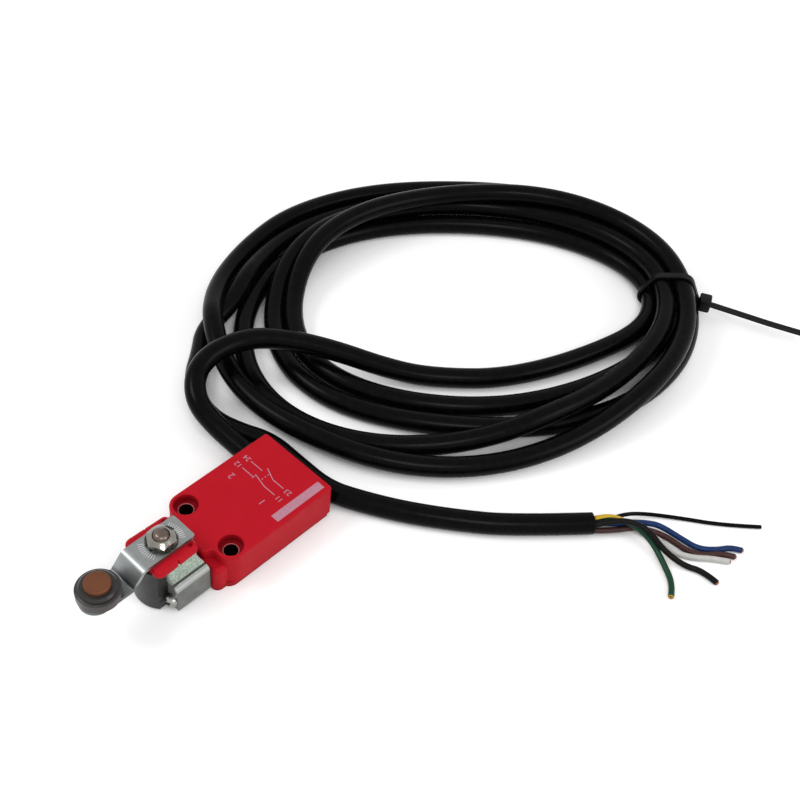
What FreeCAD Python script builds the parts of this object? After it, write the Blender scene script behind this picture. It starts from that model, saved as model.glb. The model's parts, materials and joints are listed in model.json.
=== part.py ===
import FreeCAD, Part
import math
import operator
import os
from types import SimpleNamespace

import Sketcher

# Compact limit switch with a roller lever, lying on its back with its lead coiled beside it.
# X runs across the case, Y from the lead's end towards the lever, Z up through the front face.
# The origin is midway between the two fixing holes, on the mounting face.

# Driving dimensions, in millimetres and degrees
SIZES = {
    # fixing holes
    "hole_spacing": 20.0,
    "hole_diameter": 4.3,
    "counterbore_diameter": 7.5,
    "counterbore_depth": 2.8,
    "rim_chamfer": 0.2,
    # moulded case
    "ear_wall": 1.05,
    "case_height": 13.5,
    "case_back": 36.3,
    "case_front": 8.0,
    "case_wall": 1.9,
    "case_roof": 1.6,
    "shoulder_height": 9.6,
    "shoulder_half": 12.8,
    "shoulder_round": 1.6,
    "neck_half": 7.6,
    "tongue_half": 6.4,
    "tongue_front": 7.4,
    "rear_radius": 1.0,
    "front_radius": 2.2,
    "neck_radius": 1.2,
    "edge_radius": 0.6,
    "cavity_front": 6.0,
    # back cover
    "cover_thickness": 1.8,
    "cover_inset": 0.5,
    "cover_front": 5.2,
    "cover_corner": 3.6,
    "plug_height": 1.0,
    "fit_gap": 0.1,
    # contact block and its contacts
    "block_half": 9.5,
    "block_start": 7.5,
    "block_length": 16.5,
    "block_wall": 1.2,
    "block_floor": 0.6,
    "channel_half": 3.2,
    "slot_start": 4.9,
    "slot_width": 5.2,
    "contact_thickness": 0.8,
    "contact_inner": 5.2,
    "contact_height": 5.0,
    "tail_height": 2.0,
    "tail_thickness": 0.8,
    "contact_clearance": 0.15,
    "slide_gap": 0.2,
    "bridge_half": 8.4,
    "bridge_thickness": 0.7,
    "bridge_height": 3.2,
    "tip_radius": 1.1,
    "tip_offset": 6.8,
    "travel": 1.8,
    "contact_spring_radius": 1.7,
    "contact_spring_wire": 0.5,
    "contact_spring_turns": 4.0,
    # plunger
    "plunger_diameter": 4.0,
    "plunger_level": 5.6,
    "plunger_play": 0.05,
    "seal_diameter": 6.4,
    "seal_thickness": 2.0,
    # head
    "gasket_thickness": 0.5,
    "gasket_half": 10.4,
    "gasket_margin": 0.4,
    "pivot_offset": 16.6,
    "head_radius": 9.4,
    "head_half": 6.2,
    "head_bottom": 0.8,
    "head_top": 17.3,
    "chamber_radius": 5.0,
    "chamber_floor": 2.6,
    "boss_outer": 10.6,
    "boss_bottom": 1.2,
    "boss_top": 11.4,
    "boss_front": 20.4,
    "boss_inner": 5.1,
    "boss_radius": 1.6,
    "groove_width": 0.9,
    "groove_depth": 0.7,
    "groove_inset": 1.9,
    # head screws
    "screw_offset": 8.2,
    "screw_level": 4.7,
    "screw_diameter": 2.5,
    "screw_play": 0.2,
    "screw_grip": 4.6,
    "screw_head_diameter": 4.4,
    "screw_head_height": 2.0,
    "recess_width": 0.7,
    "recess_depth": 0.9,
    # head cap and shaft seal
    "cap_half": 8.1,
    "cap_taper": 0.5,
    "cap_front": 7.7,
    "cap_rear": 7.5,
    "cap_thickness": 2.2,
    "cap_front_radius": 2.2,
    "cap_rear_radius": 1.6,
    "cap_edge_radius": 1.2,
    "notch_offset": 0.2,
    "notch_width": 1.2,
    "notch_depth": 1.0,
    "dimple_radius": 0.8,
    "dimple_depth": 1.0,
    "dimple_side": 5.6,
    "dimple_back": 5.4,
    "spigot_height": 1.6,
    "seal_ring_radius": 0.56,
    "seal_ring_play": 0.02,
    # shaft and cam
    "journal_radius": 3.0,
    "running_gap": 0.05,
    "spindle_radius": 2.0,
    "tail_radius": 1.5,
    "tail_length": 1.2,
    "axial_gap": 0.2,
    "stud_radius": 2.5,
    "stud_proud": 1.1,
    "dome_radius": 1.8,
    "cam_radius": 3.8,
    "cam_flat": 2.6,
    "cam_height": 4.4,
    "cam_gap": 0.3,
    "return_spring_radius": 3.3,
    "return_spring_wire": 0.7,
    "return_spring_turns": 5.0,
    # lever
    "lever_width": 9.7,
    "lever_thickness": 1.2,
    "lever_gap": 0.2,
    "lever_rear": 8.2,
    "lever_bend": 10.1,
    "lever_drop": 4.7,
    "lever_slope": 49.0,
    "lever_end": 6.0,
    "lever_corner": 0.8,
    "bend_radius": 1.0,
    "washer_radius": 4.7,
    "washer_thickness": 0.6,
    "washer_teeth": 14.0,
    "tooth_depth": 0.9,
    "tooth_gap": 0.8,
    "nut_flats": 8.0,
    "nut_height": 2.1,
    "nut_chamfer": 0.9,
    # roller
    "roller_offset": 21.9,
    "roller_radius": 6.4,
    "roller_height": 4.7,
    "roller_band": 3.6,
    "roller_groove": 0.35,
    "roller_step": 0.9,
    "roller_edge": 0.6,
    "pin_radius": 2.0,
    "pin_head_radius": 3.8,
    "pin_head_height": 1.4,
    "pin_tail_radius": 3.2,
    "pin_tail_height": 0.8,
    "spacer_radius": 4.2,
    "spacer_thickness": 0.3,
    "roller_float": 0.1,
    # lead
    "cable_diameter": 7.0,
    "outlet_back": 6.4,
    "outlet_level": 7.0,
    "cable_inside": 8.0,
    "grommet_radius": 4.4,
    "grommet_lip": 4.9,
    "grommet_proud": 1.0,
    "wire_diameter": 1.9,
    "filler_diameter": 1.3,
    "core_diameter": 1.0,
    "core_length": 0.5,
    # coil and its tie
    "coil_height": 11.0,
    "coil_length": 175.0,
    "coil_breadth": 141.0,
    "coil_hole_length": 120.0,
    "coil_hole_breadth": 74.2,
    "coil_round": 3.0,
    "coil_turn": 58.3,
    "coil_hole_turn": 52.1,
    "tie_thickness": 1.1,
    "tie_width": 2.6,
    "tie_height": 14.6,
    "tie_head_length": 4.4,
    "tie_head_width": 5.0,
    "tie_head_height": 5.4,
    "tie_tail_level": 7.0,
}

Vector = FreeCAD.Vector
Rotation = FreeCAD.Rotation
ALONG_Y = Rotation(Vector(0, 0, 1), Vector(0, 1, 0))
ALONG_X = Rotation(Vector(0, 0, 1), Vector(1, 0, 0))
UPRIGHT = Rotation()
TOLERANCE = 1e-4

doc = FreeCAD.newDocument("LimitSwitch")
sheet = doc.addObject("Spreadsheet::Sheet", "Sizes")
for row, (alias, number) in enumerate(SIZES.items(), start=1):
    sheet.set(f"A{row}", alias.replace("_", " "))
    sheet.set(f"B{row}", str(number))
    sheet.setAlias(f"B{row}", alias)
doc.recompute()

SIGNS = {"+": operator.add, "-": operator.sub, "*": operator.mul, "/": operator.truediv}


class Size:
    """A length with the sheet expression that gives it, so that sums of sizes stay bound to the sheet."""

    def __init__(self, text, value):
        self.text = text
        self.value = value

    def __add__(self, other):
        return combine(self, "+", other)

    def __radd__(self, other):
        return combine(other, "+", self)

    def __sub__(self, other):
        return combine(self, "-", other)

    def __rsub__(self, other):
        return combine(other, "-", self)

    def __mul__(self, other):
        return combine(self, "*", other)

    def __rmul__(self, other):
        return combine(other, "*", self)

    def __truediv__(self, other):
        return combine(self, "/", other)

    def __neg__(self):
        return combine(0, "-", self)


def as_size(number):
    return number if isinstance(number, Size) else Size(repr(number), float(number))


def combine(left, sign, right):
    left, right = as_size(left), as_size(right)
    return Size(f"({left.text} {sign} {right.text})", SIGNS[sign](left.value, right.value))


def tangent(angle):
    return Size(f"tan({angle.text} * 1 deg)", math.tan(math.radians(angle.value)))


S = SimpleNamespace(**{alias: Size(f"Sizes.{alias}", float(sheet.get(alias))) for alias in SIZES})


def bind(item, prop, size):
    item.setExpression(prop, as_size(size).text)


def place(item, x=0, y=0, z=0):
    for axis, size in zip("xyz", (x, y, z)):
        bind(item, f"Placement.Base.{axis}", size)


# Part primitives and booleans
def box(name, x, y, z):
    """A box from three pairs of low and high sides."""
    item = doc.addObject("Part::Box", name)
    for prop, (low, high) in zip(("Length", "Width", "Height"), (x, y, z)):
        bind(item, prop, high - low)
    place(item, x[0], y[0], z[0])
    return item


def cylinder(name, radius, height, x=0, y=0, z=0, turn=UPRIGHT):
    item = doc.addObject("Part::Cylinder", name)
    bind(item, "Radius", radius)
    bind(item, "Height", height)
    item.Placement = FreeCAD.Placement(Vector(), turn)
    place(item, x, y, z)
    return item


def fuse(name, *items):
    item = doc.addObject("Part::MultiFuse", name)
    item.Shapes = list(items)
    item.Refine = True
    return item


def cut(name, base, *tools):
    item = doc.addObject("Part::Cut", name)
    item.Base = base
    item.Tool = tools[0] if len(tools) == 1 else fuse(name + "_tools", *tools)
    return item


def mirrored(name, source):
    item = doc.addObject("Part::Mirroring", name)
    item.Source = source
    item.Normal = Vector(1, 0, 0)
    return item


def pair(name, source):
    """A piece and its mirror image across the case, as two separate solids."""
    item = doc.addObject("Part::Compound", name)
    item.Links = [source, mirrored(name + "_mirror", source)]
    return item


# PartDesign bodies
def new_body(name):
    return doc.addObject("PartDesign::Body", name)


def new_sketch(body, name, plane, offset=0):
    sketch = body.newObject("Sketcher::SketchObject", name)
    support = next(item for item in body.Origin.OriginFeatures if item.Role == plane)
    sketch.AttachmentSupport = [(support, "")]
    sketch.MapMode = "FlatFace"
    bind(sketch, "AttachmentOffset.Base.z", offset)
    return sketch


def pin_point(sketch, geometry, point, across, along):
    """Hold one point of a sketch at two sizes from the sketch's origin."""
    for kind, axis, size in (("DistanceX", -2, as_size(across)), ("DistanceY", -1, as_size(along))):
        if size.text == "0":
            sketch.addConstraint(Sketcher.Constraint("PointOnObject", geometry, point, axis))
        else:
            index = sketch.addConstraint(Sketcher.Constraint(kind, -1, 1, geometry, point, size.value))
            bind(sketch, f"Constraints[{index}]", size)


def outline(body, name, plane, corners, offset=0):
    """A closed sketch of straight sides through the given corners."""
    sketch = new_sketch(body, name, plane, offset)
    ends = [Vector(as_size(a).value, as_size(b).value, 0) for a, b in corners]
    count = len(ends)
    for index in range(count):
        sketch.addGeometry(Part.LineSegment(ends[index], ends[(index + 1) % count]))
    for index in range(count):
        sketch.addConstraint(Sketcher.Constraint("Coincident", index, 2, (index + 1) % count, 1))
    for index, (across, along) in enumerate(corners):
        pin_point(sketch, index, 1, across, along)
    return sketch


def rectangle(body, name, plane, across, along, offset=0):
    (left, right), (low, high) = across, along
    return outline(body, name, plane, [(left, low), (right, low), (right, high), (left, high)], offset)


def circles(body, name, plane, rounds, offset=0):
    """A sketch of circles, each given by its centre and radius."""
    sketch = new_sketch(body, name, plane, offset)
    for index, (across, along, radius) in enumerate(rounds):
        centre = Vector(as_size(across).value, as_size(along).value, 0)
        sketch.addGeometry(Part.Circle(centre, Vector(0, 0, 1), as_size(radius).value))
        pin_point(sketch, index, 3, across, along)
        size = sketch.addConstraint(Sketcher.Constraint("Radius", index, as_size(radius).value))
        bind(sketch, f"Constraints[{size}]", radius)
    return sketch


def pad(body, sketch, length, both_ways=False):
    feature = body.newObject("PartDesign::Pad", sketch.Name + "_pad")
    feature.Profile = sketch
    feature.Midplane = both_ways
    bind(feature, "Length", length)
    doc.recompute()
    return feature


def pocket(body, sketch, length, forwards=False):
    """Cut a sketch against its plane's normal, or along it where forwards is set."""
    feature = body.newObject("PartDesign::Pocket", sketch.Name + "_pocket")
    feature.Profile = sketch
    feature.Reversed = forwards
    bind(feature, "Length", length)
    doc.recompute()
    return feature


def revolve(body, sketch, kind="PartDesign::Revolution"):
    """Turn a sketch about its own upright axis."""
    feature = body.newObject(kind, sketch.Name + "_turn")
    feature.Profile = sketch
    feature.ReferenceAxis = (sketch, ["V_Axis"])
    feature.Angle = 360
    doc.recompute()
    return feature


def dress(body, kind, size, chosen):
    """A fillet or chamfer on the edges of the body's tip that the test chooses."""
    tip = body.Tip
    names = [f"Edge{index}" for index, edge in enumerate(tip.Shape.Edges, start=1) if chosen(edge)]
    feature = body.newObject(f"PartDesign::{kind}", f"{body.Name}_{kind}_{len(body.Group)}")
    feature.Base = (tip, names)
    bind(feature, "Radius" if kind == "Fillet" else "Size", size)
    doc.recompute()
    return feature


def join(body, other, kind="Fuse"):
    """Fuse another body into this one, or keep what the two have in common."""
    feature = body.newObject("PartDesign::Boolean", other.Name + "_join")
    feature.setObjects([other])
    feature.Type = kind
    doc.recompute()
    return feature


def near(first, second):
    return abs(first - as_size(second).value) < TOLERANCE


def upright_at(*places):
    """Chooses upright edges that stand at one of the given places, mirrored across X."""
    def chosen(edge):
        ends = [vertex.Point for vertex in edge.Vertexes]
        if len(ends) != 2 or abs(ends[0].z - ends[1].z) < TOLERANCE:
            return False
        return any(all(near(abs(end.x), x) and near(end.y, y) for end in ends) for x, y in places)
    return chosen


def level_at(z, allowed=lambda point: True):
    """Chooses edges that lie at one height, at allowed places."""
    def chosen(edge):
        box_of = edge.BoundBox
        middle = edge.valueAt((edge.FirstParameter + edge.LastParameter) / 2)
        return near(box_of.ZMin, z) and near(box_of.ZMax, z) and allowed(middle)
    return chosen


def circle_at(z, radius):
    """Chooses round edges of one radius at one height."""
    def chosen(edge):
        return hasattr(edge.Curve, "Radius") and near(edge.Curve.Radius, radius) and level_at(z)(edge)
    return chosen


# Places shared by several pieces
hole_half = S.hole_spacing / 2
ear_radius = S.counterbore_diameter / 2 + S.ear_wall
case_half = hole_half + ear_radius
cavity_half = case_half - S.case_wall
cavity_back = -(S.case_back - S.case_wall)
cavity_top = S.case_height - S.case_roof
plug_top = S.cover_thickness + S.plug_height
head_rear = S.case_front + S.gasket_thickness
lever_bottom = S.head_top + S.cap_thickness + S.lever_gap
lever_top = lever_bottom + S.lever_thickness
nut_low = lever_top + S.washer_thickness
nut_high = nut_low + S.nut_height
stud_top = nut_high + S.stud_proud
roller_y = S.pivot_offset + S.roller_offset
outlet_y = -(S.case_back - S.outlet_back)
cable_radius = S.cable_diameter / 2
screw_hole_radius = S.screw_diameter / 2 + S.screw_play
plunger_hole_radius = S.plunger_diameter / 2 + S.plunger_play

SIDES = {"left": -1, "right": 1}
nodes = []


def keep(item, label):
    """Name a finished sub-part and keep it for writing."""
    item.Label = label
    nodes.append(item)
    return item


def make_shoulder():
    """The low front of the case, narrower than the ears and rounded along its upper edge."""
    body = new_body("shoulder_body")
    rear = -ear_radius
    block = rectangle(body, "shoulder", "XY_Plane", (-S.shoulder_half, S.shoulder_half),
                      (rear, S.case_front), S.cover_thickness)
    pad(body, block, S.shoulder_height - S.cover_thickness)
    dress(body, "Fillet", S.front_radius, upright_at((S.shoulder_half, S.case_front)))
    dress(body, "Fillet", S.shoulder_round,
          level_at(S.shoulder_height, lambda point: point.y > rear.value + TOLERANCE))
    return body


def make_case():
    """The moulded case: deck with two rounded ears, lower front shoulder, open towards the back."""
    body = new_body("case_body")
    foot = S.cover_thickness
    deck = outline(body, "deck", "XY_Plane", [
        (-case_half, -S.case_back), (case_half, -S.case_back), (case_half, ear_radius),
        (S.neck_half, ear_radius), (S.tongue_half, S.tongue_front), (-S.tongue_half, S.tongue_front),
        (-S.neck_half, ear_radius), (-case_half, ear_radius)], foot)
    pad(body, deck, S.case_height - foot)
    dress(body, "Fillet", S.rear_radius, upright_at((case_half, -S.case_back)))
    dress(body, "Fillet", ear_radius - S.edge_radius / 10, upright_at((case_half, ear_radius)))
    dress(body, "Fillet", S.neck_radius,
          upright_at((S.neck_half, ear_radius), (S.tongue_half, S.tongue_front)))
    dress(body, "Fillet", S.edge_radius, level_at(S.case_height))
    join(body, make_shoulder())
    cavity = rectangle(body, "cavity", "XY_Plane", (-cavity_half, cavity_half),
                       (cavity_back, -S.cavity_front), foot)
    pocket(body, cavity, cavity_top - foot, forwards=True)
    bolt_holes = circles(body, "bolt_holes", "XY_Plane",
                         [(side * hole_half, 0, S.hole_diameter / 2) for side in (-1, 1)], foot)
    pocket(body, bolt_holes, S.case_height - foot, forwards=True)
    sinks = circles(body, "counterbores", "XY_Plane",
                    [(side * hole_half, 0, S.counterbore_diameter / 2) for side in (-1, 1)], S.case_height)
    pocket(body, sinks, S.counterbore_depth)
    dress(body, "Chamfer", S.rim_chamfer, circle_at(S.case_height, S.counterbore_diameter / 2))
    bore = circles(body, "plunger_bore", "XZ_Plane",
                   [(0, S.plunger_level, plunger_hole_radius)], S.cavity_front)
    pocket(body, bore, S.cavity_front + S.case_front)
    seat = circles(body, "seal_seat", "XZ_Plane", [(0, S.plunger_level, S.seal_diameter / 2)],
                   S.seal_thickness - S.case_front)
    pocket(body, seat, S.seal_thickness)
    pilots = circles(body, "screw_pilots", "XZ_Plane",
                     [(side * S.screw_offset, S.screw_level, S.screw_diameter / 2) for side in (-1, 1)],
                     S.screw_grip - S.case_front)
    pocket(body, pilots, S.screw_grip)
    outlet = circles(body, "outlet", "YZ_Plane", [(outlet_y, S.outlet_level, S.grommet_radius)], case_half)
    pocket(body, outlet, S.case_wall)
    return keep(body, "case")


def make_back_cover():
    """The mounting plate, set in behind the ears, with a plug that locates it in the case."""
    body = new_body("back_cover_body")
    half = case_half - S.cover_inset
    rear = S.cover_inset - S.case_back
    plate = rectangle(body, "plate", "XY_Plane", (-half, half), (rear, S.cover_front))
    pad(body, plate, S.cover_thickness)
    dress(body, "Fillet", S.rear_radius, upright_at((half, rear)))
    dress(body, "Fillet", S.cover_corner, upright_at((half, S.cover_front)))
    nose = rectangle(body, "nose", "XY_Plane", (-S.shoulder_half, S.shoulder_half), (0, S.case_front))
    pad(body, nose, S.cover_thickness)
    dress(body, "Fillet", S.front_radius, upright_at((S.shoulder_half, S.case_front)))
    plug = rectangle(body, "plug", "XY_Plane", (S.fit_gap - cavity_half, cavity_half - S.fit_gap),
                     (cavity_back + S.fit_gap, -S.cavity_front - S.fit_gap), S.cover_thickness)
    pad(body, plug, S.plug_height)
    holes = circles(body, "cover_holes", "XY_Plane",
                    [(side * hole_half, 0, S.hole_diameter / 2) for side in (-1, 1)])
    pocket(body, holes, S.cover_thickness, forwards=True)
    return keep(body, "back_cover")


# Contact block: a tray with a lengthwise channel for the slide and a cross slot for the contacts
block_front = -S.block_start
block_rear = block_front - S.block_length
block_top = cavity_top - S.fit_gap
channel_floor = plug_top + S.block_floor
slot_front = block_front - S.slot_start
slot_rear = slot_front - S.slot_width
contact_low = channel_floor + S.slide_gap
contact_high = contact_low + S.contact_height
bridge_front = slot_front - S.contact_thickness - S.contact_clearance
bridge_depth = S.slot_width - 2 * (S.contact_thickness + S.contact_clearance) - S.travel
slide_front = block_front - S.block_wall - S.slide_gap
slide_rear = bridge_front - bridge_depth - S.travel - S.slide_gap


def make_contact_block():
    tray = box("tray", (-S.block_half, S.block_half), (block_rear, block_front), (plug_top, block_top))
    channel = box("channel", (-S.channel_half, S.channel_half),
                  (block_rear + S.block_wall, block_front - S.block_wall), (channel_floor, block_top))
    slot = box("slot", (-S.block_half, S.block_half), (slot_rear, slot_front), (channel_floor, block_top))
    hole = cylinder("block_hole", plunger_hole_radius + S.slide_gap, S.block_wall,
                    0, block_front - S.block_wall, S.plunger_level, ALONG_Y)
    return keep(cut("block", tray, channel, slot, hole), "contact_block")


def make_contacts(label, front, tail_low):
    """Two fixed contacts, one each side, with tails along the outside of the block."""
    rear = front - S.contact_thickness
    blade = box(label + "_blade", (S.contact_inner, S.block_half), (rear, front),
                (contact_low, contact_high))
    tail_high = tail_low + S.tail_height
    lug = box(label + "_lug", (S.block_half, S.block_half + S.tail_thickness), (block_rear, front),
              (tail_low, tail_high))
    return keep(pair(label + "_pair", fuse(label + "_piece", blade, lug)), label)


def make_contact_slide():
    """The insulating slide that the plunger pushes, with a window for the contact bridge."""
    half = S.channel_half - S.slide_gap
    slide = box("slide_block", (-half, half), (slide_rear, slide_front), (contact_low, contact_high))
    window = box("slide_window", (-half, half), bridge_span(), bridge_levels())
    return keep(cut("slide", slide, window), "contact_slide")


def bridge_span():
    front = bridge_front - (bridge_depth - S.bridge_thickness) / 2
    return front - S.bridge_thickness, front


def bridge_levels():
    middle = (contact_low + contact_high) / 2
    return middle - S.bridge_height / 2, middle + S.bridge_height / 2


def make_contact_bridge():
    """The moving contact: a strip across the slide with a tip at each end, front and back."""
    strip = box("bridge_strip", (-S.bridge_half, S.bridge_half), bridge_span(), bridge_levels())
    level = (contact_low + contact_high) / 2
    tips = [cylinder("bridge_tip_" + name, S.tip_radius, bridge_depth,
                     side * S.tip_offset, bridge_front - bridge_depth, level, ALONG_Y)
            for name, side in SIDES.items()]
    return keep(fuse("bridge", strip, *tips), "contact_bridge")


def coil_spring(label, radius, wire, turns, length, origin, turn):
    """A helical wire spring of the given free length."""
    pitch = (length.value - wire.value) / turns.value
    helix = Part.makeHelix(pitch, pitch * turns.value, radius.value)
    start = helix.Edges[0].valueAt(helix.Edges[0].FirstParameter)
    section = Part.Wire(Part.makeCircle(wire.value / 2, start, Vector(0, 1, 0)))
    spring = doc.addObject("Part::Feature", label + "_wire")
    spring.Shape = Part.Wire(helix.Edges).makePipeShell([section], True, True)
    lift = turn.multVec(Vector(0, 0, wire.value / 2))
    spring.Placement = FreeCAD.Placement(origin + lift, turn)
    return keep(spring, label)


def make_contact_spring():
    free = slide_rear - (block_rear + S.block_wall)
    origin = Vector(0, (block_rear + S.block_wall).value, ((contact_low + contact_high) / 2).value)
    return coil_spring("contact_spring", S.contact_spring_radius, S.contact_spring_wire,
                       S.contact_spring_turns, free, origin, ALONG_Y)


# Plunger between the cam in the head and the slide in the case
plunger_tip = S.pivot_offset - S.cam_radius - S.cam_gap


def make_plunger():
    pin = cylinder("plunger_pin", S.plunger_diameter / 2, plunger_tip - slide_front, 0, slide_front,
                   S.plunger_level, ALONG_Y)
    return keep(pin, "plunger")


def make_plunger_seal():
    ring = cylinder("seal_ring", S.seal_diameter / 2, S.seal_thickness, 0, S.case_front - S.seal_thickness,
                    S.plunger_level, ALONG_Y)
    hole = cylinder("seal_hole", plunger_hole_radius, S.seal_thickness, 0, S.case_front - S.seal_thickness,
                    S.plunger_level, ALONG_Y)
    return keep(cut("seal", ring, hole), "plunger_seal")


def make_potting():
    """Resin that fills the rear of the case around the lead's end."""
    fill = box("fill", (S.fit_gap - cavity_half, cavity_half - S.fit_gap),
               (cavity_back + S.fit_gap, block_rear), (plug_top, cavity_top))
    hole = cylinder("fill_hole", cable_radius, S.cable_inside, case_half - S.cable_inside, outlet_y,
                    S.outlet_level, ALONG_X)
    return keep(cut("resin", fill, hole), "potting")


def make_grommet():
    sleeve = cylinder("grommet_sleeve", S.grommet_radius, S.case_wall, cavity_half, outlet_y,
                      S.outlet_level, ALONG_X)
    lip = cylinder("grommet_rim", S.grommet_lip, S.grommet_proud, case_half, outlet_y,
                   S.outlet_level, ALONG_X)
    hole = cylinder("grommet_hole", cable_radius, S.case_wall + S.grommet_proud, cavity_half, outlet_y,
                    S.outlet_level, ALONG_X)
    return keep(cut("grommet", fuse("grommet_solid", sleeve, lip), hole), "cable_grommet")


def make_head_gasket():
    """The thin gasket between case and head, holed for the plunger and the two screws."""
    sheet_of = box("gasket_sheet", (-S.gasket_half, S.gasket_half), (S.case_front, head_rear),
                   (S.boss_bottom + S.gasket_margin, S.shoulder_height - S.gasket_margin))
    holes = [cylinder("gasket_plunger_hole", plunger_hole_radius + S.slide_gap, S.gasket_thickness,
                      0, S.case_front, S.plunger_level, ALONG_Y)]
    for name, side in SIDES.items():
        holes.append(cylinder("gasket_screw_hole_" + name, screw_hole_radius, S.gasket_thickness,
                              side * S.screw_offset, S.case_front, S.screw_level, ALONG_Y))
    return keep(cut("gasket", sheet_of, *holes), "head_gasket")


def make_head_housing():
    """The die-cast head: an upright body with a round front and a screw boss on each side."""
    limits = new_body("head_limits")
    flanks = rectangle(limits, "flanks", "XY_Plane", (-S.head_half, S.head_half),
                       (head_rear, S.pivot_offset + S.head_radius), S.head_bottom)
    pad(limits, flanks, S.head_top - S.head_bottom)
    body = new_body("head_housing_body")
    drum = circles(body, "drum", "XY_Plane", [(0, S.pivot_offset, S.head_radius)], S.head_bottom)
    pad(body, drum, S.head_top - S.head_bottom)
    join(body, limits, "Common")
    wings = rectangle(body, "wings", "XY_Plane", (-S.boss_outer, S.boss_outer), (head_rear, S.pivot_offset),
                      S.boss_bottom)
    pad(body, wings, S.boss_top - S.boss_bottom)
    for name, side in SIDES.items():
        across = sorted((side * S.boss_inner, side * S.boss_outer), key=lambda size: size.value)
        boss = rectangle(body, "boss_" + name, "XY_Plane", across, (S.pivot_offset, S.boss_front),
                         S.boss_bottom)
        pad(body, boss, S.boss_top - S.boss_bottom)
    dress(body, "Fillet", S.boss_radius, lambda edge: level_at(S.boss_top)(edge)
          and all(near(abs(vertex.Point.x), S.boss_outer) for vertex in edge.Vertexes))
    for name, side in SIDES.items():
        centre = S.boss_outer - S.groove_inset
        across = sorted((side * (centre - S.groove_width / 2), side * (centre + S.groove_width / 2)),
                        key=lambda size: size.value)
        groove = rectangle(body, "groove_" + name, "XY_Plane", across, (head_rear, S.boss_front), S.boss_top)
        pocket(body, groove, S.groove_depth)
    chamber = circles(body, "chamber", "XY_Plane", [(0, S.pivot_offset, S.chamber_radius)], S.head_top)
    pocket(body, chamber, S.head_top - S.chamber_floor)
    footstep = circles(body, "footstep", "XY_Plane",
                       [(0, S.pivot_offset, S.tail_radius + S.running_gap)], S.chamber_floor)
    pocket(body, footstep, S.tail_length)
    bore = circles(body, "head_bore", "XZ_Plane", [(0, S.plunger_level, plunger_hole_radius)], -head_rear)
    pocket(body, bore, S.pivot_offset - head_rear)
    passages = circles(body, "screw_passages", "XZ_Plane",
                       [(side * S.screw_offset, S.screw_level, screw_hole_radius) for side in (-1, 1)],
                       -head_rear)
    pocket(body, passages, S.boss_front - head_rear)
    seat_radius = S.screw_head_diameter / 2 + S.running_gap
    seats = circles(body, "screw_seats", "XZ_Plane",
                    [(side * S.screw_offset, S.screw_level, seat_radius) for side in (-1, 1)], -S.boss_front)
    pocket(body, seats, S.pivot_offset + S.head_radius - S.boss_front)
    return keep(body, "head_housing")


def make_head_screws():
    """Two pan-head screws with a cross recess, from the head into the case."""
    tip = S.case_front - S.screw_grip
    shank = cylinder("screw_shank", S.screw_diameter / 2, S.boss_front - tip, S.screw_offset, tip,
                     S.screw_level, ALONG_Y)
    head = cylinder("screw_head", S.screw_head_diameter / 2, S.screw_head_height, S.screw_offset,
                    S.boss_front, S.screw_level, ALONG_Y)
    end = S.boss_front + S.screw_head_height
    reach = S.screw_head_diameter / 3
    half = S.recess_width / 2
    depth = (end - S.recess_depth, end)
    upright = box("recess_upright", (S.screw_offset - half, S.screw_offset + half), depth,
                  (S.screw_level - reach, S.screw_level + reach))
    level = box("recess_level", (S.screw_offset - reach, S.screw_offset + reach), depth,
                (S.screw_level - half, S.screw_level + half))
    screw = cut("screw", fuse("screw_solid", shank, head), upright, level)
    return keep(pair("screws", screw), "head_screws")


cap_bore = S.journal_radius + S.running_gap
seal_middle = S.seal_ring_radius + S.seal_ring_play
cap_under = S.head_top - S.spigot_height
cap_top = S.head_top + S.cap_thickness


def make_head_cap():
    """The moulded cap over the drum, with two index notches, and a spigot that carries the shaft."""
    body = new_body("head_cap_body")
    front = S.pivot_offset + S.cap_front
    rear = S.pivot_offset - S.cap_rear
    rear_half = S.cap_half - S.cap_taper
    plate = outline(body, "cap_plate", "XY_Plane", [
        (-rear_half, rear), (rear_half, rear), (S.cap_half, front), (-S.cap_half, front)], S.head_top)
    pad(body, plate, S.cap_thickness)
    dress(body, "Fillet", S.cap_front_radius, upright_at((S.cap_half, front)))
    dress(body, "Fillet", S.cap_rear_radius, upright_at((rear_half, rear)))
    dress(body, "Fillet", S.cap_edge_radius, level_at(cap_top))
    notch_y = S.pivot_offset + S.notch_offset
    for name, side in SIDES.items():
        notch = outline(body, "notch_" + name, "XY_Plane", [
            (side * S.cap_half, notch_y - S.notch_width / 2), (side * (S.cap_half - S.notch_depth), notch_y),
            (side * S.cap_half, notch_y + S.notch_width / 2)], cap_top)
        pocket(body, notch, S.cap_thickness)
    dimple_y = S.pivot_offset - S.dimple_back
    dimples = circles(body, "dimples", "XY_Plane",
                      [(side * S.dimple_side, dimple_y, S.dimple_radius) for side in (-1, 1)], cap_top)
    pocket(body, dimples, S.dimple_depth)
    spigot = circles(body, "spigot", "XY_Plane",
                     [(0, S.pivot_offset, S.chamber_radius - S.fit_gap)], cap_under)
    pad(body, spigot, S.spigot_height)
    bearing = circles(body, "bearing", "XY_Plane", [(0, S.pivot_offset, cap_bore)], cap_top)
    pocket(body, bearing, S.cap_thickness + S.spigot_height)
    recess = circles(body, "seal_recess", "XY_Plane",
                     [(0, S.pivot_offset, S.journal_radius + 2 * seal_middle)], cap_under)
    pocket(body, recess, 2 * seal_middle, forwards=True)
    return keep(body, "head_cap")


def make_shaft_seal():
    ring = doc.addObject("Part::Torus", "seal_torus")
    bind(ring, "Radius1", S.journal_radius + seal_middle)
    bind(ring, "Radius2", S.seal_ring_radius)
    place(ring, 0, S.pivot_offset, cap_under + seal_middle)
    return keep(ring, "shaft_seal")


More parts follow.
